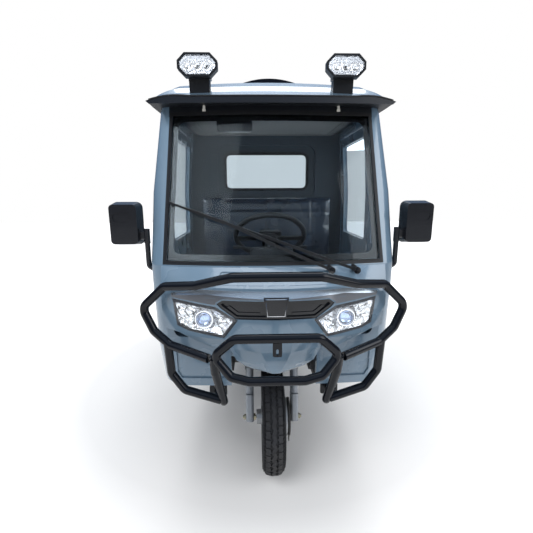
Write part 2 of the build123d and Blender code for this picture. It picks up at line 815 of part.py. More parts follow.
with BuildPart() as wiper:
    add(largest(wiper_body.part))
finish(wiper, "wiper")

# Work lamps on the visor
lamp_face = Plane(origin=(work_lamp_x, behind(work_lamp_front), work_lamp_z), x_dir=(1, 0, 0), z_dir=(0, 1, 0))


with BuildPart() as work_lamp_lenses:
    with BuildSketch(lamp_face.offset(3)) as clear:
        Rectangle(work_lamp_w - 2 * work_lamp_rim - 0.4, work_lamp_h - 2 * work_lamp_rim - 0.4)
        chamfer(clear.vertices(), work_lamp_corner - 4.2)
    extrude(amount=13)
    mirror(about=Plane.YZ)
finish(work_lamp_lenses, "work_lamp_lenses")

with BuildPart() as work_lamps:
    with BuildSketch(lamp_face) as front_edge:
        Rectangle(work_lamp_w, work_lamp_h)
        chamfer(front_edge.vertices(), work_lamp_corner)
    with BuildSketch(lamp_face.offset(work_lamp_depth * 0.35)) as middle:
        Rectangle(work_lamp_w, work_lamp_h)
        chamfer(middle.vertices(), work_lamp_corner)
    with BuildSketch(lamp_face.offset(work_lamp_depth)) as tail:
        Rectangle(work_lamp_w * 0.66, work_lamp_h * 0.6)
        chamfer(tail.vertices(), work_lamp_corner * 0.5)
    loft(ruled=True)
    with BuildSketch(lamp_face) as pocket:
        Rectangle(work_lamp_w - 2 * work_lamp_rim, work_lamp_h - 2 * work_lamp_rim)
        chamfer(pocket.vertices(), work_lamp_corner - 4)
    extrude(amount=26, mode=Mode.SUBTRACT)
    for number in range(5):
        y = work_lamp_front + 44 + number * 11
        take(block(work_lamp_x - work_lamp_w / 2, work_lamp_x + work_lamp_w / 2, y, y + 5,
                   work_lamp_z + 24, work_lamp_z + work_lamp_h))
    stem = side_profile([(6, 1790), (-4, 1886), (40, 1886), (66, 1790)], 0, work_lamp_x - stem_w / 2,
                        work_lamp_x + stem_w / 2)
    hollow = side_profile([(18, 1790), (14, 1856), (70, 1856), (70, 1790)], 0, work_lamp_x - stem_w / 2 + 6,
                          work_lamp_x + stem_w / 2 - 6)
    add(less(stem, hollow, roof_panel.part))
    take(work_lamp_lenses.part)
    mirror(about=Plane.YZ)
finish(work_lamps, "work_lamps")

# Cab floor and the wheel house with the steering head
floor_line = [(-166, nose_sill_z), (30, nose_sill_z), (88, floor_z - floor_t), (rear_edge, floor_z - floor_t)]
floor_outline = floor_line + [(y, z + floor_t) for y, z in reversed(floor_line)]
with BuildPart() as cab_floor:
    add(common(side_profile(floor_outline, 0, -reach, reach), cab_inner))
    take(block(-tunnel_half, tunnel_half, -400, tunnel_rear, 400, 900))
finish(cab_floor, "cab_floor")

rake = radians(rake_deg)
axle = Vector(0, behind(0), front_tyre_r)
axle_yz = (axle.Y, axle.Z)
steering_dir = Vector(0, sin(rake), cos(rake))
steering_foot = axle + Vector(0, fork_offset / cos(rake), 0) - steering_dir * (fork_offset * tan(rake))


def across_steering(distance):
    """A plane across the steering axis, this far above the axle."""
    return Plane(origin=steering_foot + steering_dir * distance, x_dir=(1, 0, 0), z_dir=steering_dir)


def across_legs(distance):
    """A plane across the fork legs, this far above the axle."""
    return Plane(origin=axle + steering_dir * distance, x_dir=(1, 0, 0), z_dir=steering_dir)


crown_low = front_tyre_r + crown_gap
crown_top = crown_low + crown_t
head_low = crown_top + clearance
tunnel_line = [(-220, nose_sill_z), (30, nose_sill_z), (88, floor_z - floor_t), (tunnel_rear, floor_z - floor_t),
               (tunnel_rear, tunnel_z - 110), (tunnel_rear - 80, tunnel_z), (-220, tunnel_z)]
tunnel_room = [(-240, 400), (tunnel_rear - tunnel_wall, 400), (tunnel_rear - tunnel_wall, tunnel_z - 114),
               (tunnel_rear - 84, tunnel_z - tunnel_wall), (-240, tunnel_z - tunnel_wall)]
inner_half = tunnel_half - tunnel_wall
tunnel_shell = less(side_profile(tunnel_line, 0, -tunnel_half, tunnel_half),
                    side_profile(tunnel_room, 0, -inner_half, inner_half), cab_shell, nose_loft(0))
with BuildPart() as wheel_house:
    add(largest(tunnel_shell))
    with BuildSketch(across_steering(head_low + 12)):
        Rectangle(2 * inner_half, 60)
        Circle(spindle_r + running_gap, mode=Mode.SUBTRACT)
    extrude(amount=40)
    with BuildSketch(across_steering(head_low)):
        Circle(head_r)
        Circle(spindle_r + running_gap, mode=Mode.SUBTRACT)
    extrude(amount=head_length)
finish(wheel_house, "wheel_house")

# Main frame: two rails that step up behind the cab, cross members and spring hangers
rail_top_z = rail_low_z + rail_h
high_low_z = rail_low_z + kick_rise
high_top_z = high_low_z + rail_h
rail_line = [
    (-170, 500), (16, 500), (82, rail_low_z), (kick_front, rail_low_z), (kick_rear, high_low_z), (rail_rear, high_low_z),
    (rail_rear, high_top_z), (kick_rear - 14, high_top_z), (kick_front - 14, rail_top_z), (88, rail_top_z),
    (30, nose_sill_z), (-170, nose_sill_z),
]
with BuildPart() as main_frame:
    add(side_profile(rail_line, 0, rail_x - rail_w / 2, rail_x + rail_w / 2))
    add(side_profile(rail_line, 0, -rail_x - rail_w / 2, -rail_x + rail_w / 2))
    for y, low in ((300, rail_low_z + 10), (640, rail_low_z + 10), (1180, high_low_z + 10), (2200, high_low_z + 10),
                   (rail_rear - 30, high_low_z)):
        add(block(-rail_x, rail_x, y, y + 30, low, low + rail_h - 20))
    for y in (300, 640):
        add(block(-485, 485, y, y + 30, rail_top_z - 40, rail_top_z))
    for side in (1, -1):
        for y in (wheelbase - spring_half, wheelbase + spring_half):
            for x in (side * rail_x - 28, side * rail_x + 28):
                cheek = [(y - 34, high_low_z), (y + 34, high_low_z), (y + 18, eye_z - 18), (y - 18, eye_z - 18)]
                add(side_profile(cheek, 0, x - 3, x + 3))
            add(block(side * rail_x - 31, side * rail_x + 31, y - 34, y + 34, high_low_z - 8, high_low_z + 2))
finish(main_frame, "main_frame")

# Fork: the yoke with its stem, then the two sliding legs
with BuildPart() as fork_yoke:
    with BuildSketch(across_steering(crown_low)):
        Circle(44)
        with Locations((0, -fork_offset)):
            RectangleRounded(2 * leg_x + 48, 54, 22)
    extrude(amount=crown_t)
    with BuildSketch(across_steering(crown_top - 1)):
        Circle(spindle_r)
    extrude(amount=clearance + head_length + 13)
    with BuildSketch(across_steering(head_low + head_length + clearance)):
        RegularPolygon(24, 6)
    extrude(amount=7)
    with BuildSketch(across_legs(leg_length - 60)):
        with Locations((leg_x, 0), (-leg_x, 0)):
            Circle(stanchion_r)
    extrude(amount=crown_low - leg_length + 62)
finish(fork_yoke, "fork_yoke")

with BuildPart() as fork_legs:
    with BuildSketch(across_legs(-leg_below)):
        with Locations((leg_x, 0)):
            RectangleRounded(leg_w, leg_d * 0.7, 14)
    with BuildSketch(across_legs(leg_d * 0.5)):
        with Locations((leg_x, 0)):
            RectangleRounded(leg_w, leg_d, 14)
    loft()
    with BuildSketch(across_legs(leg_d * 0.5)):
        with Locations((leg_x, 0)):
            RectangleRounded(leg_w, leg_d, 14)
    extrude(amount=leg_length * 0.35)
    with BuildSketch(across_legs(leg_d * 0.5 + leg_length * 0.35 - 1)):
        with Locations((leg_x, 0)):
            Circle(leg_w / 2)
    extrude(amount=leg_length * 0.65 - leg_d * 0.5 + 1)
    with BuildSketch(across_legs(leg_length - 16)):
        with Locations((leg_x, 0)):
            Circle(leg_w / 2 + 3)
    extrude(amount=12)
    with BuildSketch(Plane.YZ):
        with Locations(axle_yz):
            Circle(axle_r)
    extrude(amount=leg_x + leg_w, mode=Mode.SUBTRACT)
    take(fork_yoke.part)
    mirror(about=Plane.YZ)
finish(fork_legs, "fork_legs")

leg_inner = leg_x - leg_w / 2
leg_outer = leg_x + leg_w / 2
drum_in, drum_out = 30.0, leg_inner - 20
plate_t = 9.0
hub_end = leg_inner - 14
with BuildPart() as front_axle:
    add(across(-leg_outer - nut_t - 6, leg_outer + nut_t + 6, axle_r, axle_yz))
    for x in (-leg_outer - nut_t, leg_outer):
        with BuildSketch(Plane.YZ.offset(x)):
            with Locations(axle_yz):
                RegularPolygon(nut_across / 2, 6)
        extrude(amount=nut_t)
    add(across(-leg_inner, -hub_end - clearance, 16, axle_yz))
finish(front_axle, "front_axle")

with BuildPart() as front_brake:
    add(across(drum_out + clearance, drum_out + clearance + plate_t, drum_r, axle_yz))
    add(across(drum_out + clearance, leg_inner, 17, axle_yz))
    arm = [(4, -40), (20, -44), (40, -166), (26, -168)]
    with BuildSketch(Plane.YZ.offset(drum_out + clearance + plate_t)):
        with BuildLine():
            Polyline(*[(axle.Y + y, axle.Z + z) for y, z in arm], close=True)
        make_face()
    extrude(amount=5)
    take(front_axle.part)
finish(front_brake, "front_brake")


def rim_section():
    """Half the wheel's section: two flanges, a well and a flat disc down to the hub."""
    half, well, lip = rim_width / 2, rim_r - well_depth, rim_r + rim_flange
    outer = [(half + 8, lip), (half, lip), (half - 6, rim_r), (20, rim_r), (12, well)]
    inner = [(half + 8, lip - 5), (half + 4, lip - 5), (half - 3, rim_r - rim_wall), (24, rim_r - rim_wall),
             (16, well - rim_wall), (5, well - rim_wall), (5, 30)]
    top = [(-x, r) for x, r in outer] + [(x, r) for x, r in reversed(outer)]
    bottom = inner + [(-x, r) for x, r in reversed(inner)]
    return top + bottom


def wheel_with_hub(hub_from, hub_to, hub_r, bore, drum):
    """A steel rim with its disc, hub and brake drum, centred on the origin about the x axis."""
    with BuildPart(mode=Mode.PRIVATE) as wheel:
        with BuildSketch(Plane.XZ):
            with BuildLine():
                Polyline(*rim_section(), close=True)
            make_face()
        revolve(axis=Axis.X)
        with BuildSketch(Plane.YZ.offset(-10)):
            with PolarLocations(disc_hole_circle_r, 6):
                Circle(disc_hole_r)
        extrude(amount=20, mode=Mode.SUBTRACT)
        add(across(hub_from, hub_to, hub_r))
        add(across(drum[0], drum[1], drum_r))
        take(across(hub_from - 60, hub_to + 60, bore))
    return wheel.part


def tyre_on_rim(radius, width):
    """A tyre seated on its rim, as a revolved section: beads, sidewalls, shoulders and crown."""
    seat, well = rim_width / 2, rim_r - well_depth
    side = [(seat, rim_r + rim_flange), (width / 2 - 4, rim_r + 38), (width / 2, (rim_r + radius) / 2 + 4),
            (width / 2 - 5, radius - 26), (width / 2 - 15, radius - 9), (width / 4, radius - 2)]
    with BuildPart(mode=Mode.PRIVATE) as tyre:
        with BuildSketch(Plane.XZ):
            with BuildLine():
                Polyline((-seat + 6, rim_r), (-20, rim_r), (-12, well), (12, well), (20, rim_r), (seat - 6, rim_r),
                         *side, (0, radius), *[(-x, r) for x, r in reversed(side)], close=True)
            make_face()
        revolve(axis=Axis.X)
    return tyre.part


front_rim = wheel_with_hub(-hub_end, drum_out, front_hub_r, axle_r + running_gap, (drum_in, drum_out))
with BuildPart() as front_wheel:
    add(front_rim.moved(Location((0, axle.Y, axle.Z))))
finish(front_wheel, "front_wheel")
with BuildPart() as front_tyre:
    add(tyre_on_rim(front_tyre_r, front_tyre_w).moved(Location((0, axle.Y, axle.Z))))
finish(front_tyre, "front_tyre")

# Rear axle, motor, springs and wheels
rear_yz = (behind(wheelbase), rear_tyre_r)
rear_hub_in, rear_hub_out = -62.0, 40.0
housing_end = rear_track / 2 + rear_hub_in - clearance
with BuildPart() as rear_axle:
    add(across(-housing_end, housing_end, axle_tube_r, rear_yz))
    add(across(-rear_track / 2 - 30, rear_track / 2 + 30, shaft_r, rear_yz))
    with BuildSketch(Plane.YZ.offset(-74)):
        with Locations(rear_yz):
            Circle(gearbox_r * 0.7)
    with BuildSketch(Plane.YZ.offset(-30)):
        with Locations(rear_yz):
            Circle(gearbox_r)
    with BuildSketch(Plane.YZ.offset(30)):
        with Locations(rear_yz):
            Circle(gearbox_r)
    with BuildSketch(Plane.YZ.offset(74)):
        with Locations(rear_yz):
            Circle(gearbox_r * 0.7)
    loft(ruled=True)
    for x in (-housing_end, housing_end - plate_t):
        add(across(x, x + plate_t, drum_r, rear_yz))
    for side in (1, -1):
        add(block(side * rail_x - spring_w / 2, side * rail_x + spring_w / 2, wheelbase - 40, wheelbase + 40,
                  rear_tyre_r, spring_pad_z))
finish(rear_axle, "rear_axle")

with BuildPart() as drive_motor:
    motor_yz = (rear_yz[0] - 190, rear_yz[1] + 20)
    add(across(-78, 70, 88, motor_yz))
    for x in range(-66, 60, 16):
        add(across(x, x + 6, 94, motor_yz))
    add(block(-40, 40, wheelbase - 160, wheelbase - 40, rear_tyre_r - 35, rear_tyre_r + 55))
    take(rear_axle.part)
finish(drive_motor, "drive_motor")

spring_mid_z = spring_pad_z + leaf_t * len(leaf_lengths)
spring_arch = eye_z - spring_mid_z
main_leaf_r = (spring_half ** 2 + spring_arch ** 2) / (2 * spring_arch)
with BuildPart() as leaf_springs:
    centre_y, centre_z = behind(wheelbase), spring_mid_z + main_leaf_r
    for number, half in enumerate(leaf_lengths):
        r_top = main_leaf_r + number * leaf_t
        r_low = r_top + leaf_t
        z_top, z_low = centre_z - sqrt(r_top ** 2 - half ** 2), centre_z - sqrt(r_low ** 2 - half ** 2)
        with BuildSketch(Plane.YZ.offset(rail_x - spring_w / 2)):
            with BuildLine():
                ThreePointArc((centre_y - half, z_low), (centre_y, centre_z - r_low), (centre_y + half, z_low))
                Line((centre_y + half, z_low), (centre_y + half, z_top))
                ThreePointArc((centre_y + half, z_top), (centre_y, centre_z - r_top), (centre_y - half, z_top))
                Line((centre_y - half, z_top), (centre_y - half, z_low))
            make_face()
        extrude(amount=spring_w)
    with BuildSketch(Plane.YZ.offset(rail_x - spring_w / 2)):
        with Locations((behind(wheelbase - spring_half), eye_z), (behind(wheelbase + spring_half), eye_z)):
            Circle(eye_r)
        with Locations((centre_y, spring_pad_z + leaf_t * len(leaf_lengths) / 2)):
            Rectangle(64, leaf_t * len(leaf_lengths) + 8)
    extrude(amount=spring_w)
    mirror(about=Plane.YZ)
    take(rear_axle.part, main_frame.part)
finish(leaf_springs, "leaf_springs")

rear_rim = wheel_with_hub(rear_hub_in, rear_hub_out, rear_hub_r, shaft_r + running_gap, (rear_hub_in + 2, -14))
rear_place = Location((rear_track / 2, *rear_yz))
with BuildPart() as rear_wheel_left:
    add(rear_rim.moved(rear_place))
finish(rear_wheel_left, "rear_wheel_left")
with BuildPart() as rear_wheel_right:
    add(mirror(rear_wheel_left.part, about=Plane.YZ))
finish(rear_wheel_right, "rear_wheel_right")
with BuildPart() as rear_tyre_left:
    add(tyre_on_rim(rear_tyre_r, rear_tyre_w).moved(rear_place))
finish(rear_tyre_left, "rear_tyre_left")
with BuildPart() as rear_tyre_right:
    add(mirror(rear_tyre_left.part, about=Plane.YZ))
finish(rear_tyre_right, "rear_tyre_right")

# Rear mudguards, hung from the bed floor
guard_gap = 16.0
guard_t = 3.0
guard_r = rear_tyre_r + guard_gap
guard_w = rear_tyre_w + 16
floor_low = bed_floor_z - bed_floor_t
with BuildPart() as rear_mudguards:
    with BuildSketch(Plane.YZ.offset(rear_track / 2 - guard_w / 2)):
        with Locations(rear_yz):
            Circle(guard_r + guard_t)
            Circle(guard_r, mode=Mode.SUBTRACT)
            with Locations((0, -guard_r + 60)):
                Rectangle(3 * guard_r, 2 * guard_r, mode=Mode.SUBTRACT)
    extrude(amount=guard_w)
    add(block(rear_track / 2 - rear_tyre_w / 2, rear_track / 2 + rear_tyre_w / 2, wheelbase - 20, wheelbase + 20,
              rear_yz[1] + guard_r + 1, floor_low))
    mirror(about=Plane.YZ)
finish(rear_mudguards, "rear_mudguards")

# Cargo bed: floor with headboard and edge beams, two drop sides and a tailgate
board_z = (bed_floor_z + 4, bed_floor_z + board_h)
side_from = bed_front + board_t + board_gap
bed_hinge_z = bed_floor_z - 12
hinge_places = (side_from + 150, (side_from + bed_rear) / 2, bed_rear - 150)
gate_half = bed_half - board_t - board_gap
gate_places = (-gate_half + 140, gate_half - 140)


def drop_board(y_low, y_high, ribs):
    """A pressed drop side in the YZ plane, its outer face at x = 0: pockets on both faces, ribs between."""
    pitch = (y_high - y_low - 48) / ribs
    with BuildPart(mode=Mode.PRIVATE) as board:
        add(block(-board_t, 0, y_low, y_high, *board_z))
        for number in range(ribs):
            start = y_low + 24 + number * pitch
            low, high = board_z[0] + 30, board_z[1] - 30
            take(block(-board_t - 1, -9, start + 12, start + pitch - 12, low, high))
            take(block(-5, 1, start + 18, start + pitch - 18, low + 12, high - 12))
    return board.part


def bed_hinge(y, part):
    """One hinge about a lengthwise axis at x = 0: the board's half or the floor's half."""
    spans = [(-15.0, 15.0)] if part == "board" else [(-45.0, -15.5), (15.5, 45.0)]
    with BuildPart(mode=Mode.PRIVATE) as half:
        for low, high in spans:
            with BuildSketch(Plane(origin=(0, behind(y + low), bed_hinge_z), x_dir=(-1, 0, 0), z_dir=(0, 1, 0))):
                Circle(hinge_r)
                if part == "board":
                    with Locations((hinge_out / 2 - 0.3, 28)):
                        Rectangle(hinge_out - 0.6, 56)
                    with Locations((hinge_out + 2, 37)):
                        Rectangle(6, 34)
                else:
                    with Locations((hinge_out - 2, -6)):
                        Rectangle(12, 12)
            extrude(amount=high - low)
        pin = hinge_pin_r + running_gap if part == "board" else hinge_pin_r
        with BuildSketch(Plane(origin=(0, behind(y - 45), bed_hinge_z), x_dir=(-1, 0, 0), z_dir=(0, 1, 0))):
            Circle(pin)
        extrude(amount=90, mode=Mode.SUBTRACT if part == "board" else Mode.ADD)
    return half.part


side_move = Location((bed_half, 0, 0))
side_hinge_move = Location((bed_half + hinge_out, 0, 0))
gate_move = Location((0, behind(bed_rear), 0), (0, 0, 90))
gate_hinge_move = Location((0, behind(bed_rear) + hinge_out, 0), (0, 0, 90))
with BuildPart() as bed_side_left:
    add(drop_board(side_from, bed_rear, 6).moved(side_move))
    for y in hinge_places:
        add(bed_hinge(y, "board").moved(side_hinge_move))
finish(bed_side_left, "bed_side_left")
with BuildPart() as bed_side_right:
    add(mirror(bed_side_left.part, about=Plane.YZ))
finish(bed_side_right, "bed_side_right")
with BuildPart() as tailgate:
    add(drop_board(-front_axle_y - gate_half, -front_axle_y + gate_half, 4).moved(gate_move))
    for x in gate_places:
        add(bed_hinge(x - front_axle_y, "board").moved(gate_hinge_move))
finish(tailgate, "tailgate")

cross_places = (bed_front + 30, 1180, 1560, 2200, bed_rear - 60)
with BuildPart() as bed_floor:
    add(block(-bed_half, bed_half, bed_front, bed_rear, floor_low, bed_floor_z))
    add(block(-bed_half, bed_half, bed_front, bed_front + board_t, bed_floor_z, board_z[1] + headboard_extra))
    for number in range(5):
        x = -bed_half + 40 + number * 200
        take(block(x + 20, x + 252 - 20, bed_front - 1, bed_front + 9, board_z[0] + 40, board_z[1] + 20))
    for y in cross_places:
        add(block(-bed_half + 40, bed_half - 40, y, y + 40, floor_low - cross_h, floor_low))
    for x in (-bed_half, bed_half - 36):
        add(block(x, x + 36, bed_front, bed_rear, floor_low - 26, floor_low))
    for y in hinge_places:
        leaf = bed_hinge(y, "floor").moved(side_hinge_move)
        add(leaf)
        add(mirror(leaf, about=Plane.YZ))
    for x in gate_places:
        add(bed_hinge(x - front_axle_y, "floor").moved(gate_hinge_move))
    take(main_frame.part)
finish(bed_floor, "bed_floor")

# Tail lamps and rear bar
with BuildPart() as tail_lamps:
    with BuildSketch(front_plane(bed_rear - 4, 452, floor_low - 55)):
        RectangleRounded(150, 56, 10)
    extrude(amount=34)
    mirror(about=Plane.YZ)
    take(bed_floor.part)
finish(tail_lamps, "tail_lamps")

with BuildPart() as rear_bumper:
    add(block(-470, 470, bed_rear - 46, bed_rear - 10, 420, 470))
    for x in (-rail_x - 20, rail_x - 20):
        add(block(x, x + 40, bed_rear - 40, bed_rear - 24, 465, high_low_z))
    take(main_frame.part)
finish(rear_bumper, "rear_bumper")

# Dashboard, steering wheel and column
tilt = radians(steering_wheel_tilt_deg)
wheel_centre = Vector(0, behind(steering_wheel_y), steering_wheel_z)
wheel_dir = Vector(0, sin(tilt), cos(tilt))
hub_below = 44.0


def along_column(distance):
    """A plane across the steering column, this far above the wheel's centre."""
    return Plane(origin=wheel_centre + wheel_dir * distance, x_dir=(1, 0, 0), z_dir=wheel_dir)


with BuildPart() as steering_wheel:
    rim_plane = Plane(origin=wheel_centre, x_dir=(1, 0, 0), z_dir=Vector(0, -cos(tilt), sin(tilt)))
    with BuildSketch(rim_plane):
        with Locations((steering_wheel_r, 0)):
            RegularPolygon(wheel_rim_r, 12)
    revolve(axis=Axis(wheel_centre, wheel_dir))
    with BuildSketch(along_column(-hub_below)):
        Circle(hub_below)
    extrude(amount=34)
    with BuildSketch(along_column(-16)):
        for angle in (0, 180, 90):
            centre = (steering_wheel_r / 2 * cos(radians(angle)), steering_wheel_r / 2 * sin(radians(angle)))
            with Locations(centre):
                Rectangle(steering_wheel_r - 4, 30, rotation=angle)
    extrude(amount=9)
    with BuildSketch(along_column(-90)):
        Circle(14)
    extrude(amount=50)
finish(steering_wheel, "steering_wheel")

dash_outline = [(-240, 1078), (-20, 1092), (44, 1078), (dash_rear, 1040), (dash_rear, 940), (8, 800), (-240, 800)]
dash_void = [(-260, 1078 - dash_wall), (-20, 1092 - dash_wall), (36, 1067), (dash_rear - dash_wall, 1034),
             (dash_rear - dash_wall, 944), (0, 800 + dash_wall), (-260, 800 + dash_wall)]
with BuildPart(mode=Mode.PRIVATE) as column_body:
    with BuildSketch(along_column(-column_length)):
        Circle(column_r)
    extrude(amount=column_length - hub_below - clearance)
    with BuildSketch(along_column(-90 - clearance)):
        Circle(14 + running_gap)
    extrude(amount=60, mode=Mode.SUBTRACT)
    take(side_profile(dash_void, 0, -reach, reach))
with BuildPart() as steering_column:
    add(largest(column_body.part))
finish(steering_column, "steering_column")

dash_shell = less(common(side_profile(dash_outline, 0, -reach, reach), cab_inner),
                  common(side_profile(dash_void, 0, -reach, reach), cab_loft(cab_wall + 10)), steering_column.part)
with BuildPart() as dashboard:
    add(largest(dash_shell))
finish(dashboard, "dashboard")

# Seat: a steel box with the battery in it, a cushion, a back and the back's frame
rest_rear = cab_rear - cab_wall - 4
with BuildPart() as seat_base:
    add(block(-seat_half, seat_half, seat_front, rear_edge, floor_z, seat_base_z))
    take(block(-seat_half + seat_box_wall, seat_half - seat_box_wall, seat_front + seat_box_wall,
               rear_edge - seat_box_wall, floor_z - 1, seat_base_z - seat_box_wall))
finish(seat_base, "seat_base")

with BuildPart() as battery_pack:
    add(block(-battery[0] / 2, battery[0] / 2, seat_front + 60, seat_front + 60 + battery[1], floor_z,
              floor_z + battery[2]))
finish(battery_pack, "battery_pack")

with BuildPart() as seat_cushion:
    with BuildSketch(Plane.XY.offset(seat_base_z)):
        with Locations((0, behind(seat_front + seat_depth / 2))):
            RectangleRounded(2 * cushion_half, seat_depth, 40)
    extrude(amount=cushion_t)
    fillet(seat_cushion.faces().sort_by(Axis.Z)[-1].edges(), 24)
finish(seat_cushion, "seat_cushion")

back_foot = seat_base_z + 12
lean_back = (backrest_top_z - back_foot) * tan(radians(backrest_lean_deg))
back_line = [(rest_rear - backrest_t - lean_back, back_foot), (rest_rear - lean_back, back_foot),
             (rest_rear, backrest_top_z), (rest_rear - backrest_t, backrest_top_z)]
with BuildPart() as seat_back:
    add(side_profile(back_line, 22, -cushion_half + 2, cushion_half - 2))
finish(seat_back, "seat_back")

with BuildPart() as seat_frame:
    add(block(-300, 300, rest_rear - 20, rear_edge, 1240, 1280))
    add(block(-380, 380, rest_rear - 80, rear_edge, seat_base_z, seat_base_z + 20))
    take(seat_back.part)
finish(seat_frame, "seat_frame")

# Pedals on their bracket under the dashboard, and the inner mirror
with BuildPart() as pedals:
    for x, low in ((300, 632), (380, 640)):
        add(side_profile([(40, 830), (52, 830), (74, low), (60, low)], 0, x - 6, x + 6))
        add(side_profile([(48, low - 34), (58, low - 38), (80, low + 30), (70, low + 34)], 0, x - 28, x + 28))
    add(block(280, 400, 14, 52, 812, 836))
    take(dashboard.part)
finish(pedals, "pedals")

with BuildPart() as cabin_mirror:
    with BuildSketch(front_plane(86, -166, 1695)):
        RectangleRounded(162, 54, 16)
    extrude(amount=16)
    with BuildSketch(front_plane(78, -166, 1700)):
        Circle(9)
    extrude(amount=60)
    take(cab_shell, windscreen_glass.part, windscreen_seal.part)
finish(cabin_mirror, "cabin_mirror")
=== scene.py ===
import json
from math import atan2, cos, pi, radians, sin
from random import Random

import bmesh
import bpy
from mathutils import Matrix, Vector


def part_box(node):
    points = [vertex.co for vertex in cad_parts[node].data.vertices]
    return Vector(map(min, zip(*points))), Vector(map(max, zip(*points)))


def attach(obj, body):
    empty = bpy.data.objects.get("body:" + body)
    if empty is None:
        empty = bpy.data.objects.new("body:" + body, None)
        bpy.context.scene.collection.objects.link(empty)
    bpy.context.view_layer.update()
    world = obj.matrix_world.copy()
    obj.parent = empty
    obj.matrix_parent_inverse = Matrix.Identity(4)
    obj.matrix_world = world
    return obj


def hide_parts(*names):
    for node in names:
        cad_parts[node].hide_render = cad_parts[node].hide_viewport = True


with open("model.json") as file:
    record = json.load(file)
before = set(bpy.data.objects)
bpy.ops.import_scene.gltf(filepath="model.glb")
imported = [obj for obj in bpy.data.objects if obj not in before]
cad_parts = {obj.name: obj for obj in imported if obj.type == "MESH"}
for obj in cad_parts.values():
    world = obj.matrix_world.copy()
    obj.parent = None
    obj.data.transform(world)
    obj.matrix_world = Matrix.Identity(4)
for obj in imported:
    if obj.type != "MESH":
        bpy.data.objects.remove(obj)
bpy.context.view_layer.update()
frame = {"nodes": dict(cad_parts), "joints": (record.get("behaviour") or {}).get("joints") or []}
nodes = frame["nodes"]
bpy.ops.object.select_all(action="DESELECT")

# Lengthwise places are metres behind the front axle, as a fitter would measure them
joint_place = {joint["name"]: Vector(joint["pos_m"]) for joint in frame["joints"]}
front_axle = joint_place["front_spin"]
side_sign = {"left": 1, "right": -1}


def behind(distance):
    return front_axle.y + distance


def low(node):
    return Vector(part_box(node)[0])


def high(node):
    return Vector(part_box(node)[1])


# Camera: fitted to the photograph, in metres and degrees
camera_right, camera_ahead, camera_up = -0.075, 1.63, 1.394
camera_down, camera_turn, camera_roll = 11.69, 1.73, -0.24
focal_pixels, picture_pixels = 353.4, 533.0


def place_camera():
    data = bpy.data.cameras.new("view_camera")
    data.sensor_width = 36.0
    data.lens = focal_pixels / picture_pixels * data.sensor_width
    data.clip_end = 60.0
    camera = bpy.data.objects.new("view_camera", data)
    bpy.context.scene.collection.objects.link(camera)
    turn = Matrix.Rotation(radians(-camera_turn), 4, "Z")
    tilt = Matrix.Rotation(radians(90 - camera_down), 4, "X")
    roll = Matrix.Rotation(radians(camera_roll), 4, "Z")
    camera.matrix_world = Matrix.Translation((camera_right, behind(-camera_ahead), camera_up)) @ turn @ tilt @ roll
    bpy.context.scene.camera = camera


# Node helpers

def feed(tree, source, target):
    tree.links.new(source, target)


def give(tree, socket, value):
    """Sets a socket to a number or a colour, or feeds it from another socket."""
    if isinstance(value, (int, float)):
        socket.default_value = value
    elif isinstance(value, tuple):
        socket.default_value = (*value, 1.0)
    else:
        feed(tree, value, socket)


def axes_of(tree, vector):
    axes = tree.nodes.new("ShaderNodeSeparateXYZ")
    feed(tree, vector, axes.inputs[0])
    return axes.outputs


def facing_of(tree):
    """Which way the surface looks, axis by axis."""
    return axes_of(tree, tree.nodes.new("ShaderNodeTexCoord").outputs["Normal"])


def ramp_between(tree, source, low_at, high_at, low_value=0.0, high_value=1.0):
    """Stretches a value so that low_at gives low_value and high_at gives high_value, clamped."""
    node = tree.nodes.new("ShaderNodeMapRange")
    settings = {"From Min": low_at, "From Max": high_at, "To Min": low_value, "To Max": high_value, "Value": source}
    for label, value in settings.items():
        give(tree, node.inputs[label], value)
    return node.outputs["Result"]


def noise_of(tree, vector, scale, detail, roughness):
    node = tree.nodes.new("ShaderNodeTexNoise")
    node.inputs["Detail"].default_value = detail
    node.inputs["Roughness"].default_value = roughness
    feed(tree, vector, node.inputs["Vector"])
    give(tree, node.inputs["Scale"], scale)
    return node.outputs["Fac"]


def math_of(tree, operation, a, b, clamp=False):
    node = tree.nodes.new("ShaderNodeMath")
    node.operation = operation
    node.use_clamp = clamp
    for socket, value in zip(node.inputs, (a, b)):
        give(tree, socket, value)
    return node.outputs[0]


def mixed(tree, factor, first, second):
    """A colour between two colours; each may be a socket or a plain colour."""
    node = tree.nodes.new("ShaderNodeMix")
    node.data_type = "RGBA"
    for number, value in ((0, factor), (6, first), (7, second)):
        give(tree, node.inputs[number], value)
    return node.outputs[2]


def new_group(name, inputs, outputs):
    """An empty node group with named sockets; each entry is (name, kind, default)."""
    group = bpy.data.node_groups.new(name, "ShaderNodeTree")
    kinds = {"value": "NodeSocketFloat", "colour": "NodeSocketColor", "vector": "NodeSocketVector"}
    for label, kind, default in inputs:
        socket = group.interface.new_socket(name=label, in_out="INPUT", socket_type=kinds[kind])
        if default is not None:
            socket.default_value = default
    for label, kind in outputs:
        group.interface.new_socket(name=label, in_out="OUTPUT", socket_type=kinds[kind])
    return group, group.nodes.new("NodeGroupInput").outputs, group.nodes.new("NodeGroupOutput").inputs


def build_surface_grain():
    """Fine grain: a height for bumps and a slow mottle for colour and gloss."""
    group, given, wanted = new_group(
        "surface_grain", [("Vector", "vector", None), ("Scale", "value", 400.0), ("Slow Scale", "value", 6.0)],
        [("Height", "value"), ("Mottle", "value")])
    fine = noise_of(group, given["Vector"], given["Scale"], 2.0, 0.55)
    slow = noise_of(group, given["Vector"], given["Slow Scale"], 3.0, 0.6)
    feed(group, fine, wanted["Height"])
    feed(group, ramp_between(group, slow, 0.3, 0.7), wanted["Mottle"])
    return group


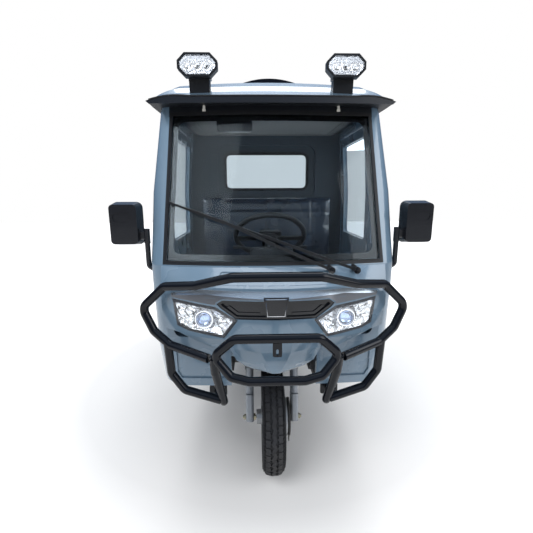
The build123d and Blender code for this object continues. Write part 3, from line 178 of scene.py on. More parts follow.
def build_road_dust():
    """Dust that thickens towards the ground, broken up by noise."""
    group, given, wanted = new_group(
        "road_dust",
        [("Vector", "vector", None), ("Color", "colour", (0.5, 0.5, 0.5, 1)), ("Amount", "value", 0.3),
         ("Clean Above", "value", 0.9)],
        [("Color", "colour"), ("Dust", "value")])
    share = math_of(group, "DIVIDE", axes_of(group, given["Vector"])["Z"], given["Clean Above"])
    depth = math_of(group, "SUBTRACT", 1.0, share, clamp=True)
    patches = ramp_between(group, noise_of(group, given["Vector"], 9.0, 6.0, 0.65), 0.35, 0.75)
    dust = math_of(group, "MULTIPLY", math_of(group, "MULTIPLY", depth, patches), given["Amount"], clamp=True)
    feed(group, mixed(group, dust, given["Color"], (0.30, 0.27, 0.23)), wanted["Color"])
    feed(group, dust, wanted["Dust"])
    return group


def build_rub_marks():
    """Small rubbed flecks and hairlines where a finish has been touched."""
    group, given, wanted = new_group(
        "rub_marks",
        [("Vector", "vector", None), ("Color", "colour", (0.5, 0.5, 0.5, 1)),
         ("Rubbed", "colour", (0.6, 0.6, 0.6, 1)), ("Amount", "value", 0.2), ("Scale", "value", 40.0)],
        [("Color", "colour"), ("Mask", "value")])
    flecks = ramp_between(group, noise_of(group, given["Vector"], given["Scale"], 8.0, 0.7), 0.60, 0.72)
    zones = ramp_between(group, noise_of(group, given["Vector"], 4.0, 2.0, 0.5), 0.45, 0.7)
    mask = math_of(group, "MULTIPLY", math_of(group, "MULTIPLY", flecks, zones), given["Amount"], clamp=True)
    feed(group, mixed(group, mask, given["Color"], given["Rubbed"]), wanted["Color"])
    feed(group, mask, wanted["Mask"])
    return group


def build_cloth_weave():
    """Crossed threads: a height for bumps and a mask between the two threads."""
    group, given, wanted = new_group(
        "cloth_weave", [("Vector", "vector", None), ("Scale", "value", 500.0)],
        [("Height", "value"), ("Threads", "value")])
    waves = []
    for direction in ("X", "Z"):
        wave = group.nodes.new("ShaderNodeTexWave")
        wave.bands_direction = direction
        wave.inputs["Distortion"].default_value = 0.6
        feed(group, given["Vector"], wave.inputs["Vector"])
        feed(group, given["Scale"], wave.inputs["Scale"])
        waves.append(wave.outputs["Fac"])
    feed(group, math_of(group, "MULTIPLY", *waves), wanted["Height"])
    feed(group, math_of(group, "GREATER_THAN", *waves), wanted["Threads"])
    return group


surface_grain = build_surface_grain()
road_dust = build_road_dust()
rub_marks = build_rub_marks()
cloth_weave = build_cloth_weave()


def placed_group(tree, group, vector, **values):
    node = tree.nodes.new("ShaderNodeGroup")
    node.node_tree = group
    feed(tree, vector, node.inputs["Vector"])
    for label, value in values.items():
        give(tree, node.inputs[label.replace("_", " ")], value)
    return node.outputs


def new_material(name):
    """A material with its Principled shader and the Object coordinates that its patterns follow."""
    material = bpy.data.materials.new(name)
    material.use_nodes = True
    tree = material.node_tree
    shader = tree.nodes["Principled BSDF"]
    vector = tree.nodes.new("ShaderNodeTexCoord").outputs["Object"]
    return material, tree, shader, vector


def bump_from(tree, shader, height, strength, distance):
    bump = tree.nodes.new("ShaderNodeBump")
    bump.inputs["Strength"].default_value = strength
    bump.inputs["Distance"].default_value = distance
    feed(tree, height, bump.inputs["Height"])
    feed(tree, bump.outputs["Normal"], shader.inputs["Normal"])


def finish(name, colour, roughness, metallic=0.0, coat=0.0, grain=400.0, depth=0.0002, mottle=0.08, dust=0.0,
           clean_above=0.9, rub=0.0, rubbed=(0.5, 0.5, 0.5), specular=0.5, rough_swing=0.08):
    """A sprayed, moulded or cast finish: grain, slow mottle, rubbed flecks and road dust."""
    material, tree, shader, vector = new_material(name)
    marks = placed_group(tree, surface_grain, vector, Scale=grain, Slow_Scale=5.0)
    darker = tuple(c * (1 - mottle) for c in colour)
    lighter = tuple(min(1.0, c * (1 + mottle)) for c in colour)
    tone = mixed(tree, marks["Mottle"], darker, lighter)
    if rub:
        tone = placed_group(tree, rub_marks, vector, Color=tone, Rubbed=rubbed, Amount=rub, Scale=55.0)["Color"]
    gloss = ramp_between(tree, marks["Mottle"], 0.0, 1.0, roughness, min(1.0, roughness + rough_swing))
    if dust:
        dusty = placed_group(tree, road_dust, vector, Color=tone, Amount=dust, Clean_Above=clean_above)
        tone = dusty["Color"]
        gloss = math_of(tree, "ADD", gloss, math_of(tree, "MULTIPLY", dusty["Dust"], 0.5), clamp=True)
    feed(tree, tone, shader.inputs["Base Color"])
    feed(tree, gloss, shader.inputs["Roughness"])
    shader.inputs["Metallic"].default_value = metallic
    shader.inputs["Coat Weight"].default_value = coat
    shader.inputs["Coat Roughness"].default_value = 0.04
    shader.inputs["Specular IOR Level"].default_value = specular
    bump_from(tree, shader, marks["Height"], 0.25, depth)
    return material


def glass(name, tint, roughness=0.0, grain=30.0, depth=0.00005, bend=1.45):
    """Clear glass or lens: plain transmission, a faint tint that drifts, and very slight waves."""
    material, tree, shader, vector = new_material(name)
    marks = placed_group(tree, surface_grain, vector, Scale=grain, Slow_Scale=2.0)
    feed(tree, mixed(tree, marks["Mottle"], tuple(c * 0.97 for c in tint), tint), shader.inputs["Base Color"])
    feed(tree, ramp_between(tree, marks["Mottle"], 0.0, 1.0, roughness, roughness + 0.01), shader.inputs["Roughness"])
    shader.inputs["Transmission Weight"].default_value = 1.0
    shader.inputs["IOR"].default_value = bend
    bump_from(tree, shader, marks["Height"], 0.1, depth)
    return material


def crystal(name, colour, cell, depth, roughness=0.1):
    """Vacuum-metallised reflector cut in small facets, each leaning its own way."""
    material, tree, shader, vector = new_material(name)
    cells = tree.nodes.new("ShaderNodeTexVoronoi")
    cells.inputs["Scale"].default_value = 1.0 / cell
    feed(tree, vector, cells.inputs["Vector"])
    tone = mixed(tree, ramp_between(tree, cells.outputs["Distance"], 0.0, 0.9), colour,
                 tuple(c * 0.72 for c in colour))
    feed(tree, tone, shader.inputs["Base Color"])
    feed(tree, ramp_between(tree, cells.outputs["Distance"], 0.0, 1.0, roughness, roughness + 0.12),
         shader.inputs["Roughness"])
    shader.inputs["Metallic"].default_value = 1.0
    bump_from(tree, shader, cells.outputs["Distance"], 1.0, depth)
    return material


def woven(name, colour, thread, roughness=0.9, depth=0.0004, scale=420.0):
    """Woven trim cloth with two threads."""
    material, tree, shader, vector = new_material(name)
    threads = placed_group(tree, cloth_weave, vector, Scale=scale)
    slow = placed_group(tree, surface_grain, vector, Scale=900.0, Slow_Scale=4.0)
    tone = mixed(tree, threads["Threads"], colour, thread)
    tone = mixed(tree, math_of(tree, "MULTIPLY", slow["Mottle"], 0.35), tone, tuple(c * 0.6 for c in colour))
    feed(tree, tone, shader.inputs["Base Color"])
    feed(tree, ramp_between(tree, slow["Height"], 0.0, 1.0, roughness - 0.08, roughness), shader.inputs["Roughness"])
    shader.inputs["Sheen Weight"].default_value = 0.3
    bump_from(tree, shader, threads["Height"], 0.5, depth)
    return material


# Where the dark trim and the painted shade lie: metres behind the front axle, from the middle and above the ground
visor_lip_back = 0.030
header_back, header_half_width, header_foot = 0.13, 0.452, 1.726


def visor_lip_and_painted_underside_shade(tree, place):
    """The visor's front lip, in black trim, and the whole underside, painted dark as shade."""
    facing = facing_of(tree)
    # Faces that look down get painted shade; the lip's front face gets black trim
    downwards = math_of(tree, "LESS_THAN", facing["Z"], -0.5)
    frontwards = math_of(tree, "LESS_THAN", facing["Y"], -0.9)
    at_lip = math_of(tree, "LESS_THAN", place["Y"], behind(visor_lip_back))
    return math_of(tree, "MAXIMUM", downwards, math_of(tree, "MULTIPLY", frontwards, at_lip))


def painted_visor_shadow_over_screen(tree, place):
    """The header between the screen and the visor, painted dark as the visor's shadow."""
    across = math_of(tree, "LESS_THAN", math_of(tree, "ABSOLUTE", place["X"], 0.0), header_half_width)
    above = math_of(tree, "GREATER_THAN", place["Z"], header_foot)
    ahead = math_of(tree, "LESS_THAN", place["Y"], behind(header_back))
    return math_of(tree, "MULTIPLY", math_of(tree, "MULTIPLY", across, above), ahead)


def paint_with_trim_and_painted_shade(name, colour, shade, shaded_part):
    """Glossy body paint with a part painted dark and dull: painted shade, with dark trim where the mask also takes it
    in.
    """
    material, tree, shader, vector = new_material(name)
    marks = placed_group(tree, surface_grain, vector, Scale=900.0, Slow_Scale=4.0)
    dark = shaded_part(tree, axes_of(tree, vector))
    tone = mixed(tree, marks["Mottle"], tuple(c * 0.96 for c in colour), colour)
    feed(tree, mixed(tree, dark, tone, shade), shader.inputs["Base Color"])
    feed(tree, ramp_between(tree, dark, 0.0, 1.0, 0.20, 0.5), shader.inputs["Roughness"])
    feed(tree, ramp_between(tree, dark, 0.0, 1.0, 0.8, 0.0), shader.inputs["Coat Weight"])
    shader.inputs["Coat Roughness"].default_value = 0.04
    bump_from(tree, shader, marks["Height"], 0.2, 0.00004)
    return material


def wall_paint(name, outer, inner):
    """The rear wall: body paint on the face towards the bed, dark trim colour inside the cab."""
    material, tree, shader, vector = new_material(name)
    marks = placed_group(tree, surface_grain, vector, Scale=700.0, Slow_Scale=4.0)
    outside = math_of(tree, "GREATER_THAN", facing_of(tree)["Y"], 0.3)
    shade = mixed(tree, outside, inner, outer)
    even = ramp_between(tree, marks["Mottle"], 0.0, 1.0, 0.94, 1.0)
    feed(tree, mixed(tree, even, inner, shade), shader.inputs["Base Color"])
    feed(tree, ramp_between(tree, outside, 0.0, 1.0, 0.42, 0.24), shader.inputs["Roughness"])
    feed(tree, ramp_between(tree, outside, 0.0, 1.0, 0.0, 0.7), shader.inputs["Coat Weight"])
    bump_from(tree, shader, marks["Height"], 0.2, 0.00008)
    return material


def vinyl_under_film(name, colour):
    """Artificial leather still in its clear film: leather pebbles below, long film creases above, with a painted
    sheen, paler and bluer, on the creases' ridges.
    """
    material, tree, shader, vector = new_material(name)
    pebbles = tree.nodes.new("ShaderNodeTexVoronoi")
    pebbles.inputs["Scale"].default_value = 420.0
    feed(tree, vector, pebbles.inputs["Vector"])
    stretch = tree.nodes.new("ShaderNodeMapping")
    stretch.inputs["Scale"].default_value = (1.0, 0.35, 0.4)
    stretch.inputs["Rotation"].default_value = (0.2, 0.5, 0.3)
    feed(tree, vector, stretch.inputs["Vector"])
    creases = tree.nodes.new("ShaderNodeTexNoise")
    creases.noise_type = "RIDGED_MULTIFRACTAL"
    creases.inputs["Scale"].default_value = 9.0
    creases.inputs["Detail"].default_value = 4.0
    feed(tree, stretch.outputs["Vector"], creases.inputs["Vector"])
    height = math_of(tree, "ADD", math_of(tree, "MULTIPLY", pebbles.outputs["Distance"], 0.06),
                     creases.outputs["Fac"])
    marks = placed_group(tree, surface_grain, vector, Scale=60.0, Slow_Scale=7.0)
    # Paler blue-grey on the crease ridges: a painted sheen of the film
    crease_painted_sheen = ramp_between(tree, creases.outputs["Fac"], 0.65, 1.3, 0.0, 0.75)
    feed(tree, mixed(tree, crease_painted_sheen, colour, (0.35, 0.40, 0.46)), shader.inputs["Base Color"])
    feed(tree, ramp_between(tree, marks["Mottle"], 0.0, 1.0, 0.16, 0.34), shader.inputs["Roughness"])
    shader.inputs["Coat Weight"].default_value = 0.7
    shader.inputs["Coat Roughness"].default_value = 0.06
    bump_from(tree, shader, height, 0.5, 0.004)
    return material


def tread_rubber(name, colour):
    """Tyre rubber: dull, a little grey where dust sits, finely ribbed."""
    material, tree, shader, vector = new_material(name)
    marks = placed_group(tree, surface_grain, vector, Scale=700.0, Slow_Scale=14.0)
    tone = mixed(tree, marks["Mottle"], colour, tuple(c * 1.5 for c in colour))
    dusty = placed_group(tree, road_dust, vector, Color=tone, Amount=0.12, Clean_Above=0.62)
    feed(tree, dusty["Color"], shader.inputs["Base Color"])
    feed(tree, ramp_between(tree, marks["Height"], 0.2, 0.8, 0.62, 0.82), shader.inputs["Roughness"])
    shader.inputs["Specular IOR Level"].default_value = 0.35
    bump_from(tree, shader, marks["Height"], 0.4, 0.0004)
    return material


def checker_steel(name, colour):
    """Painted chequer plate: raised lozenges crossing each other."""
    material, tree, shader, vector = new_material(name)
    lozenges = []
    for turn in (radians(45), radians(-45)):
        turned = tree.nodes.new("ShaderNodeMapping")
        turned.inputs["Rotation"].default_value = (0.0, 0.0, turn)
        feed(tree, vector, turned.inputs["Vector"])
        brick = tree.nodes.new("ShaderNodeTexWave")
        brick.inputs["Scale"].default_value = 9.0
        feed(tree, turned.outputs["Vector"], brick.inputs["Vector"])
        lozenges.append(ramp_between(tree, brick.outputs["Fac"], 0.72, 0.95))
    height = math_of(tree, "MAXIMUM", *lozenges)
    tone = placed_group(tree, rub_marks, vector, Color=colour, Rubbed=(0.42, 0.43, 0.44), Amount=0.8, Scale=30.0)
    dusty = placed_group(tree, road_dust, vector, Color=tone["Color"], Amount=0.5, Clean_Above=1.6)
    feed(tree, dusty["Color"], shader.inputs["Base Color"])
    feed(tree, ramp_between(tree, height, 0.0, 1.0, 0.55, 0.35), shader.inputs["Roughness"])
    bump_from(tree, shader, height, 0.8, 0.002)
    return material


# Finishes, by what they are on this vehicle
# The second colour is black for the visor lip's trim and for the painted shade under the roof and over the screen
body_blue, trim_and_painted_shade_black = (0.128, 0.200, 0.275), (0.006, 0.008, 0.012)
finishes = {
    "body_paint": finish("body_paint", body_blue, 0.22, coat=0.8, grain=900.0, depth=0.00004, mottle=0.05,
                         dust=0.35, clean_above=0.75),
    # Roof: the underside is painted dark as shade, and the visor's front lip is black as trim
    "roof_paint_and_painted_shade": paint_with_trim_and_painted_shade("roof_paint_and_painted_shade", body_blue, trim_and_painted_shade_black, visor_lip_and_painted_underside_shade),
    "wall_paint": wall_paint("wall_paint", body_blue, (0.030, 0.045, 0.062)),
    # Cab: the header over the screen is painted dark as the visor's shadow
    "cab_paint_and_painted_shadow": paint_with_trim_and_painted_shade("cab_paint_and_painted_shadow", body_blue, trim_and_painted_shade_black, painted_visor_shadow_over_screen),
    "inner_paint": finish("inner_paint", (0.055, 0.085, 0.115), 0.42, grain=700.0, depth=0.0001, mottle=0.08),
    "bed_paint": finish("bed_paint", body_blue, 0.36, coat=0.25, grain=500.0, depth=0.0001, dust=0.4,
                        clean_above=1.3, rub=0.5, rubbed=(0.36, 0.38, 0.40)),
    "bed_plate": checker_steel("bed_plate", (0.10, 0.165, 0.225)),
    "tube_black": finish("tube_black", (0.004, 0.005, 0.008), 0.14, grain=300.0, depth=0.00008, mottle=0.2,
                         specular=0.28, rough_swing=0.05),
    "chassis_black": finish("chassis_black", (0.016, 0.017, 0.019), 0.42, coat=0.1, grain=260.0, depth=0.0003,
                            mottle=0.25, dust=0.45, clean_above=0.75, rub=0.3, rubbed=(0.14, 0.12, 0.10)),
    "black_plastic": finish("black_plastic", (0.012, 0.013, 0.015), 0.42, grain=1100.0, depth=0.0003, mottle=0.15,
                            dust=0.1, clean_above=1.0),
    "gloss_plastic": finish("gloss_plastic", (0.008, 0.009, 0.012), 0.18, coat=0.3, grain=500.0, depth=0.00005),
    "dash_plastic": finish("dash_plastic", (0.020, 0.022, 0.026), 0.55, grain=1400.0, depth=0.0004, mottle=0.12),
    "seal_rubber": finish("seal_rubber", (0.008, 0.008, 0.009), 0.55, grain=800.0, depth=0.0002),
    "brow_silver": finish("brow_silver", (0.46, 0.53, 0.60), 0.20, metallic=0.75, coat=0.6, grain=900.0,
                          depth=0.00003),
    # Grey for the silver brow's lower half: painted shade
    "brow_painted_shade_grey": finish("brow_painted_shade_grey", (0.17, 0.18, 0.20), 0.30, metallic=0.4, coat=0.4, grain=700.0, depth=0.00005),
    "edge_chrome": finish("edge_chrome", (0.75, 0.76, 0.78), 0.09, metallic=1.0, grain=600.0, depth=0.00003),
    "mirror_silver": finish("mirror_silver", (0.82, 0.84, 0.86), 0.03, metallic=1.0, grain=20.0, depth=0.00001,
                            mottle=0.02, rough_swing=0.01),
    "lamp_alloy": finish("lamp_alloy", (0.012, 0.013, 0.015), 0.36, metallic=0.3, grain=700.0, depth=0.0002,
                         rub=0.2, rubbed=(0.3, 0.3, 0.3)),
    "lamp_bezel": finish("lamp_bezel", (0.05, 0.055, 0.065), 0.3, metallic=0.4, grain=700.0, depth=0.0001),
    "crystal_chrome": crystal("crystal_chrome", (0.80, 0.83, 0.87), 0.016, 0.0035),
    "fluted_chrome": crystal("fluted_chrome", (0.72, 0.75, 0.80), 0.006, 0.002, 0.12),
    "lens_clear": glass("lens_clear", (0.97, 0.985, 1.0)),
    "lens_blue": glass("lens_blue", (0.72, 0.82, 1.0), 0.02),
    "screen_glass": glass("screen_glass", (0.66, 0.73, 0.78), bend=1.18),
    "side_glass": glass("side_glass", (0.80, 0.85, 0.87), bend=1.2),
    "lens_red": glass("lens_red", (0.75, 0.02, 0.015), 0.12, 160.0, 0.0006),
    "frit_black": finish("frit_black", (0.004, 0.004, 0.005), 0.16, grain=500.0, depth=0.00003),
    "fork_silver": finish("fork_silver", (0.30, 0.33, 0.37), 0.36, metallic=0.55, coat=0.2, grain=420.0,
                          depth=0.0003, dust=0.35, clean_above=0.6),
    "zinc_steel": finish("zinc_steel", (0.52, 0.46, 0.30), 0.30, metallic=0.9, grain=500.0, depth=0.0002,
                         dust=0.3, clean_above=0.5),
    "bright_steel": finish("bright_steel", (0.52, 0.53, 0.55), 0.24, metallic=1.0, grain=600.0, depth=0.0001),
    "cast_iron": finish("cast_iron", (0.045, 0.046, 0.050), 0.55, metallic=0.5, grain=180.0, depth=0.0008,
                        mottle=0.3, dust=0.45, clean_above=0.6, rub=0.4, rubbed=(0.13, 0.09, 0.06)),
    "cast_alloy": finish("cast_alloy", (0.34, 0.35, 0.36), 0.45, metallic=0.8, grain=220.0, depth=0.0006,
                         mottle=0.15, dust=0.35, clean_above=0.6),
    "rim_paint": finish("rim_paint", (0.42, 0.44, 0.46), 0.34, metallic=0.6, coat=0.2, grain=500.0, depth=0.0001,
                        dust=0.45, clean_above=0.6),
    "tyre_rubber": tread_rubber("tyre_rubber", (0.016, 0.017, 0.020)),
    "floor_coating": finish("floor_coating", (0.030, 0.034, 0.040), 0.7, grain=120.0, depth=0.0012, mottle=0.2,
                            dust=0.3, clean_above=0.7),
    "headliner": woven("headliner", (0.085, 0.078, 0.072), (0.11, 0.10, 0.092)),
    "seat_vinyl": vinyl_under_film("seat_vinyl", (0.022, 0.036, 0.062)),
    "battery_case": finish("battery_case", (0.04, 0.045, 0.05), 0.5, grain=500.0, depth=0.0003),
    "dial_screen": finish("dial_screen", (0.01, 0.012, 0.016), 0.08, coat=0.8, grain=200.0, depth=0.00002),
    "connector_white": finish("connector_white", (0.70, 0.68, 0.62), 0.45, grain=500.0, depth=0.0001),
}
node_finishes = {
    "cab_paint_and_painted_shadow": ("cab_frame",),
    "body_paint": ("door_left", "door_right", "front_fascia", "nose_panel", "front_lower_panels"),
    "roof_paint_and_painted_shade": ("roof_panel",),
    "wall_paint": ("cab_rear_wall",),
    "inner_paint": ("seat_base", "seat_frame"),
    "bed_paint": ("bed_side_left", "bed_side_right", "tailgate"),
    "bed_plate": ("bed_floor",),
    "brow_silver": ("brow_trim",),
    "gloss_plastic": ("grille_panel", "mirror_housings", "cabin_mirror"),
    "lamp_bezel": ("headlamp_housings",),
    "lens_clear": ("headlamp_lenses", "work_lamp_lenses"),
    "tube_black": ("bull_bar", "roof_strip"),
    "black_plastic": ("wiper", "steering_wheel", "steering_column", "rear_mudguards"),
    "dash_plastic": ("dashboard",),
    "mirror_silver": ("mirror_glasses",),
    "lamp_alloy": ("work_lamps",),
    "screen_glass": ("windscreen_glass",),
    "side_glass": ("rear_window_glass", "door_glass_left", "door_glass_right", "quarter_glasses"),
    "seal_rubber": ("windscreen_seal",),
    "floor_coating": ("cab_floor", "wheel_house"),
    "seat_vinyl": ("seat_cushion", "seat_back"),
    "battery_case": ("battery_pack",),
    "chassis_black": ("main_frame", "pedals", "leaf_springs", "rear_bumper", "fork_yoke"),
    "fork_silver": ("fork_legs",),
    "zinc_steel": ("front_axle",),
    "cast_iron": ("front_brake", "rear_axle"),
    "cast_alloy": ("drive_motor",),
    "rim_paint": ("front_wheel", "rear_wheel_left", "rear_wheel_right"),
    "tyre_rubber": ("front_tyre", "rear_tyre_left", "rear_tyre_right"),
    "lens_red": ("tail_lamps",),
}


def dress(piece, name):
    """Gives a piece one of the finishes above."""
    piece.data.materials.clear()
    piece.data.materials.append(finishes[name])


for name, held in node_finishes.items():
    for node in held:
        dress(nodes[node], name)


# A y ahead of the whole vehicle, from which sheets are pressed back onto it
front_of_all = -2.5


# Hand tools: a piece is started as a primitive, its faces are chosen by place or normal, then shaped

def nothing_chosen():
    """Back to object mode with nothing selected, so that an operator acts on what comes next."""
    if bpy.context.mode != "OBJECT":
        bpy.ops.object.mode_set(mode="OBJECT")
    bpy.ops.object.select_all(action="DESELECT")


def only(piece):
    nothing_chosen()
    piece.select_set(True)
    bpy.context.view_layer.objects.active = piece


def started(name):
    """Names the primitive just added and puts its place into its mesh."""
    piece = bpy.context.object
    piece.name = name
    piece.data.name = name
    bpy.ops.object.transform_apply(location=True, rotation=True, scale=True)
    return piece


def bar(name, corner_low, corner_high):
    """A block between two corners, to be shaped."""
    nothing_chosen()
    first, last = Vector(corner_low), Vector(corner_high)
    bpy.ops.mesh.primitive_cube_add(size=1.0, location=(first + last) / 2, scale=last - first)
    return started(name)


turns = {"X": (0, pi / 2, 0), "Y": (pi / 2, 0, 0)}


def disc(name, centre, axis, radius, depth, sides):
    """A round bar about an axis, to be shaped."""
    nothing_chosen()
    bpy.ops.mesh.primitive_cylinder_add(vertices=sides, radius=radius, depth=depth, location=centre,
                                        rotation=turns[axis])
    return started(name)


def plate(name, outline, y):
    """A flat sheet facing forwards with its corners on an outline of (x, z) places."""
    nothing_chosen()
    bpy.ops.mesh.primitive_circle_add(vertices=len(outline), fill_type="NGON", rotation=(pi / 2, 0, 0))
    piece = started(name)
    for corner, (x, z) in zip(piece.data.vertices, outline):
        corner.co = (x, y, z)
    return piece


def choose(piece, test, kind="FACE"):
    """Goes into edit mode with only those faces or corners chosen that pass the test."""
    if bpy.context.mode != "EDIT_MESH":
        only(piece)
        bpy.ops.object.mode_set(mode="EDIT")
    bpy.ops.mesh.select_mode(type=kind)
    bpy.ops.mesh.select_all(action="DESELECT")
    mesh = bmesh.from_edit_mesh(piece.data)
    for item in mesh.faces if kind == "FACE" else mesh.verts:
        place = item.calc_center_median() if kind == "FACE" else item.co
        if test(place, item.normal):
            item.select_set(True)
    mesh.select_flush_mode()
    bmesh.update_edit_mesh(piece.data)


def everything(place, normal):
    return True


def push(distance, normal_axis):
    """Pulls the chosen faces out along an axis."""
    move = [distance if axis == normal_axis else 0.0 for axis in "XYZ"]
    bpy.ops.mesh.extrude_region_move(TRANSFORM_OT_translate={"value": move})


def inset(thickness, depth=0.0):
    bpy.ops.mesh.inset(thickness=thickness, depth=depth, use_even_offset=True)


def modified(piece, kind, **settings):
    """Adds a modifier with its settings and applies it."""
    only(piece)
    modifier = piece.modifiers.new(kind.lower(), kind)
    for name, value in settings.items():
        setattr(modifier, name, value)
    bpy.ops.object.modifier_apply(modifier=modifier.name)


def bevelled(piece, width, segments=2):
    """Rounds every edge sharper than 30 degrees."""
    modified(piece, "BEVEL", width=width, segments=segments, limit_method="ANGLE", angle_limit=radians(30))


def walled(piece, thickness, offset=-1.0):
    modified(piece, "SOLIDIFY", thickness=thickness, offset=offset)


def laid_on(piece, node, off):
    """Presses a sheet back onto a node's front face and lifts it off by a distance."""
    modified(piece, "SHRINKWRAP", target=nodes[node], wrap_method="PROJECT", use_project_y=True,
             use_positive_direction=True, use_negative_direction=False)
    for corner in piece.data.vertices:
        if corner.co.y < front_of_all + 0.1:
            corner.co.y = nodes[node].closest_point_on_mesh((corner.co.x, low(node).y, corner.co.z))[1].y
        corner.co.y -= off


def closed_up(piece, angle=32.0, outwards=True):
    """Merges doubles, turns the faces outwards and smooths all but the sharp edges."""
    choose(piece, everything, "VERT")
    bpy.ops.mesh.remove_doubles(threshold=0.00002)
    if outwards:
        bpy.ops.mesh.select_all(action="SELECT")
        bpy.ops.mesh.normals_make_consistent(inside=False)
    only(piece)
    bpy.ops.object.shade_smooth_by_angle(angle=radians(angle))
    return piece


def joined(name, pieces):
    only(pieces[0])
    for piece in pieces:
        piece.select_set(True)
    if len(pieces) > 1:
        bpy.ops.object.join()
    pieces[0].name = name
    pieces[0].data.name = name
    return pieces[0]


def copied(piece, name):
    """A copy with its own mesh."""
    twin = piece.copy()
    twin.data = piece.data.copy()
    twin.name = name
    twin.data.name = name
    bpy.context.scene.collection.objects.link(twin)
    return twin


def fitted(piece, body, material):
    """A finished piece: its finish and the body that it rides on."""
    dress(piece, material)
    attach(piece, body)
    return piece


def turned_section(name, section, centre, axis, steps):
    """Spins a closed section of (along, out) places about an axis through a centre."""
    nothing_chosen()
    bpy.ops.mesh.primitive_circle_add(vertices=len(section), fill_type="NOTHING")
    piece = started(name)
    along_to = Vector((1, 0, 0)) if axis == "X" else Vector((0, 1, 0))
    for corner, (along, out) in zip(piece.data.vertices, section):
        corner.co = Vector(centre) + along_to * along + Vector((0, 0, out))
    choose(piece, everything, "VERT")
    bpy.ops.mesh.spin(steps=steps, angle=2 * pi, center=centre, axis=along_to)
    return closed_up(piece)


# Outlines are lists of (x, z) places seen from the front, in metres

def shrunk(outline, amount):
    """An outline drawn in by this much on every side, or grown where the amount is negative."""
    area = sum(x0 * z1 - x1 * z0 for (x0, z0), (x1, z1) in zip(outline, outline[1:] + outline[:1]))
    inwards = 1.0 if area > 0 else -1.0
    corners = []
    for number, corner in enumerate(outline):
        before, after = Vector(outline[number - 1]), Vector(outline[(number + 1) % len(outline)])
        here = Vector(corner)
        first, second = (here - before).normalized(), (after - here).normalized()
        side_a, side_b = Vector((-first.y, first.x)) * inwards, Vector((-second.y, second.x)) * inwards
        bisector = (side_a + side_b).normalized()
        corners.append(tuple(here + bisector * (amount / max(0.3, bisector.dot(side_a)))))
    return corners


def rounded(x_low, x_high, z_low, z_high, radius, steps=6):
    """A rectangle with round corners, as an outline."""
    corners = []
    for x, z, start in ((x_high, z_high, 0), (x_low, z_high, 90), (x_low, z_low, 180), (x_high, z_low, 270)):
        middle_x = x - radius if x == x_high else x + radius
        middle_z = z - radius if z == z_high else z + radius
        for step in range(steps + 1):
            angle = radians(start + 90 * step / steps)
            corners.append((middle_x + radius * cos(angle), middle_z + radius * sin(angle)))
    return corners


def mirrored(outline):
    return [(-x, z) for x, z in reversed(outline)]


def ring_of(name, outline, width, y):
    """A flat frame that follows an outline, this wide, facing forwards."""
    piece = plate(name, outline, y)
    choose(piece, everything)
    inset(width)
    only(piece)
    middle = max(piece.data.polygons, key=lambda face: len(face.vertices) if len(outline) > 4 else -abs(
        Vector(face.center).x - sum(x for x, z in outline) / len(outline)))
    target = Vector(middle.center)
    choose(piece, lambda place, normal: (place - target).length < 1e-6)
    bpy.ops.mesh.delete(type="FACE")
    nothing_chosen()
    return piece


def sliced(piece, axis, low_at, high_at, count):
    """Cuts a sheet into strips so that it can bend."""
    normal = Vector([1.0 if axis == name else 0.0 for name in "XYZ"])
    for number in range(1, count):
        place = normal * (low_at + (high_at - low_at) * number / count)
        choose(piece, everything)
        bpy.ops.mesh.bisect(plane_co=place, plane_no=normal)
    nothing_chosen()


def to_border(place, outline):
    """How far a place inside an outline lies from its nearest side."""
    here = Vector((place.x, place.z))
    nearest = 1.0
    for (x0, z0), (x1, z1) in zip(outline, outline[1:] + outline[:1]):
        start, along = Vector((x0, z0)), Vector((x1 - x0, z1 - z0))
        share = max(0.0, min(1.0, (here - start).dot(along) / along.length_squared))
        nearest = min(nearest, (start + along * share - here).length)
    return nearest


# Headlamps: a dark bezel, a crystal reflector and a projector behind each lens

lamp_corners = [(0.412, 0.984), (0.398, 0.870), (0.352, 0.854), (0.202, 0.838), (0.147, 0.916), (0.234, 0.966)]
projector_x, projector_z = 0.284, 0.905


def headlamp_bezel(side, corners):
    piece = ring_of("headlamp_bezel_" + side, shrunk(corners, 0.0012), 0.011, front_of_all)
    sliced(piece, "X", min(x for x, z in corners), max(x for x, z in corners), 10)
    laid_on(piece, "headlamp_lenses", -0.0062)
    walled(piece, 0.006, offset=-1.0)
    closed_up(piece)
    bevelled(piece, 0.0012)
    return fitted(piece, "chassis", "lamp_bezel")


def headlamp_reflector(side, corners):
    """A bowl of small flat facets, deepest round the projector."""
    chance = Random(7)
    inner = shrunk(corners, 0.008)
    piece = plate("headlamp_reflector_" + side, inner, front_of_all)
    sliced(piece, "X", min(x for x, z in inner), max(x for x, z in inner), 22)
    sliced(piece, "Z", min(z for x, z in inner), max(z for x, z in inner), 11)
    choose(piece, everything)
    bpy.ops.mesh.quads_convert_to_tris()
    nothing_chosen()
    laid_on(piece, "headlamp_lenses", -0.010)
    sign = side_sign[side]
    for corner in piece.data.vertices:
        bowl = min(1.0, to_border(corner.co, inner) / 0.024)
        from_projector = Vector((corner.co.x - sign * projector_x, corner.co.z - projector_z)).length
        well = max(0.0, min(1.0, (0.060 - from_projector) / 0.022))
        corner.co.y += bowl * (0.014 + 0.012 * well) + (chance.random() - 0.3) * 0.0075 * (bowl > 0.1)
        if bowl > 0.1:
            corner.co.x += (chance.random() - 0.5) * 0.004
            corner.co.z += (chance.random() - 0.5) * 0.004
    return fitted(piece, "chassis", "crystal_chrome")


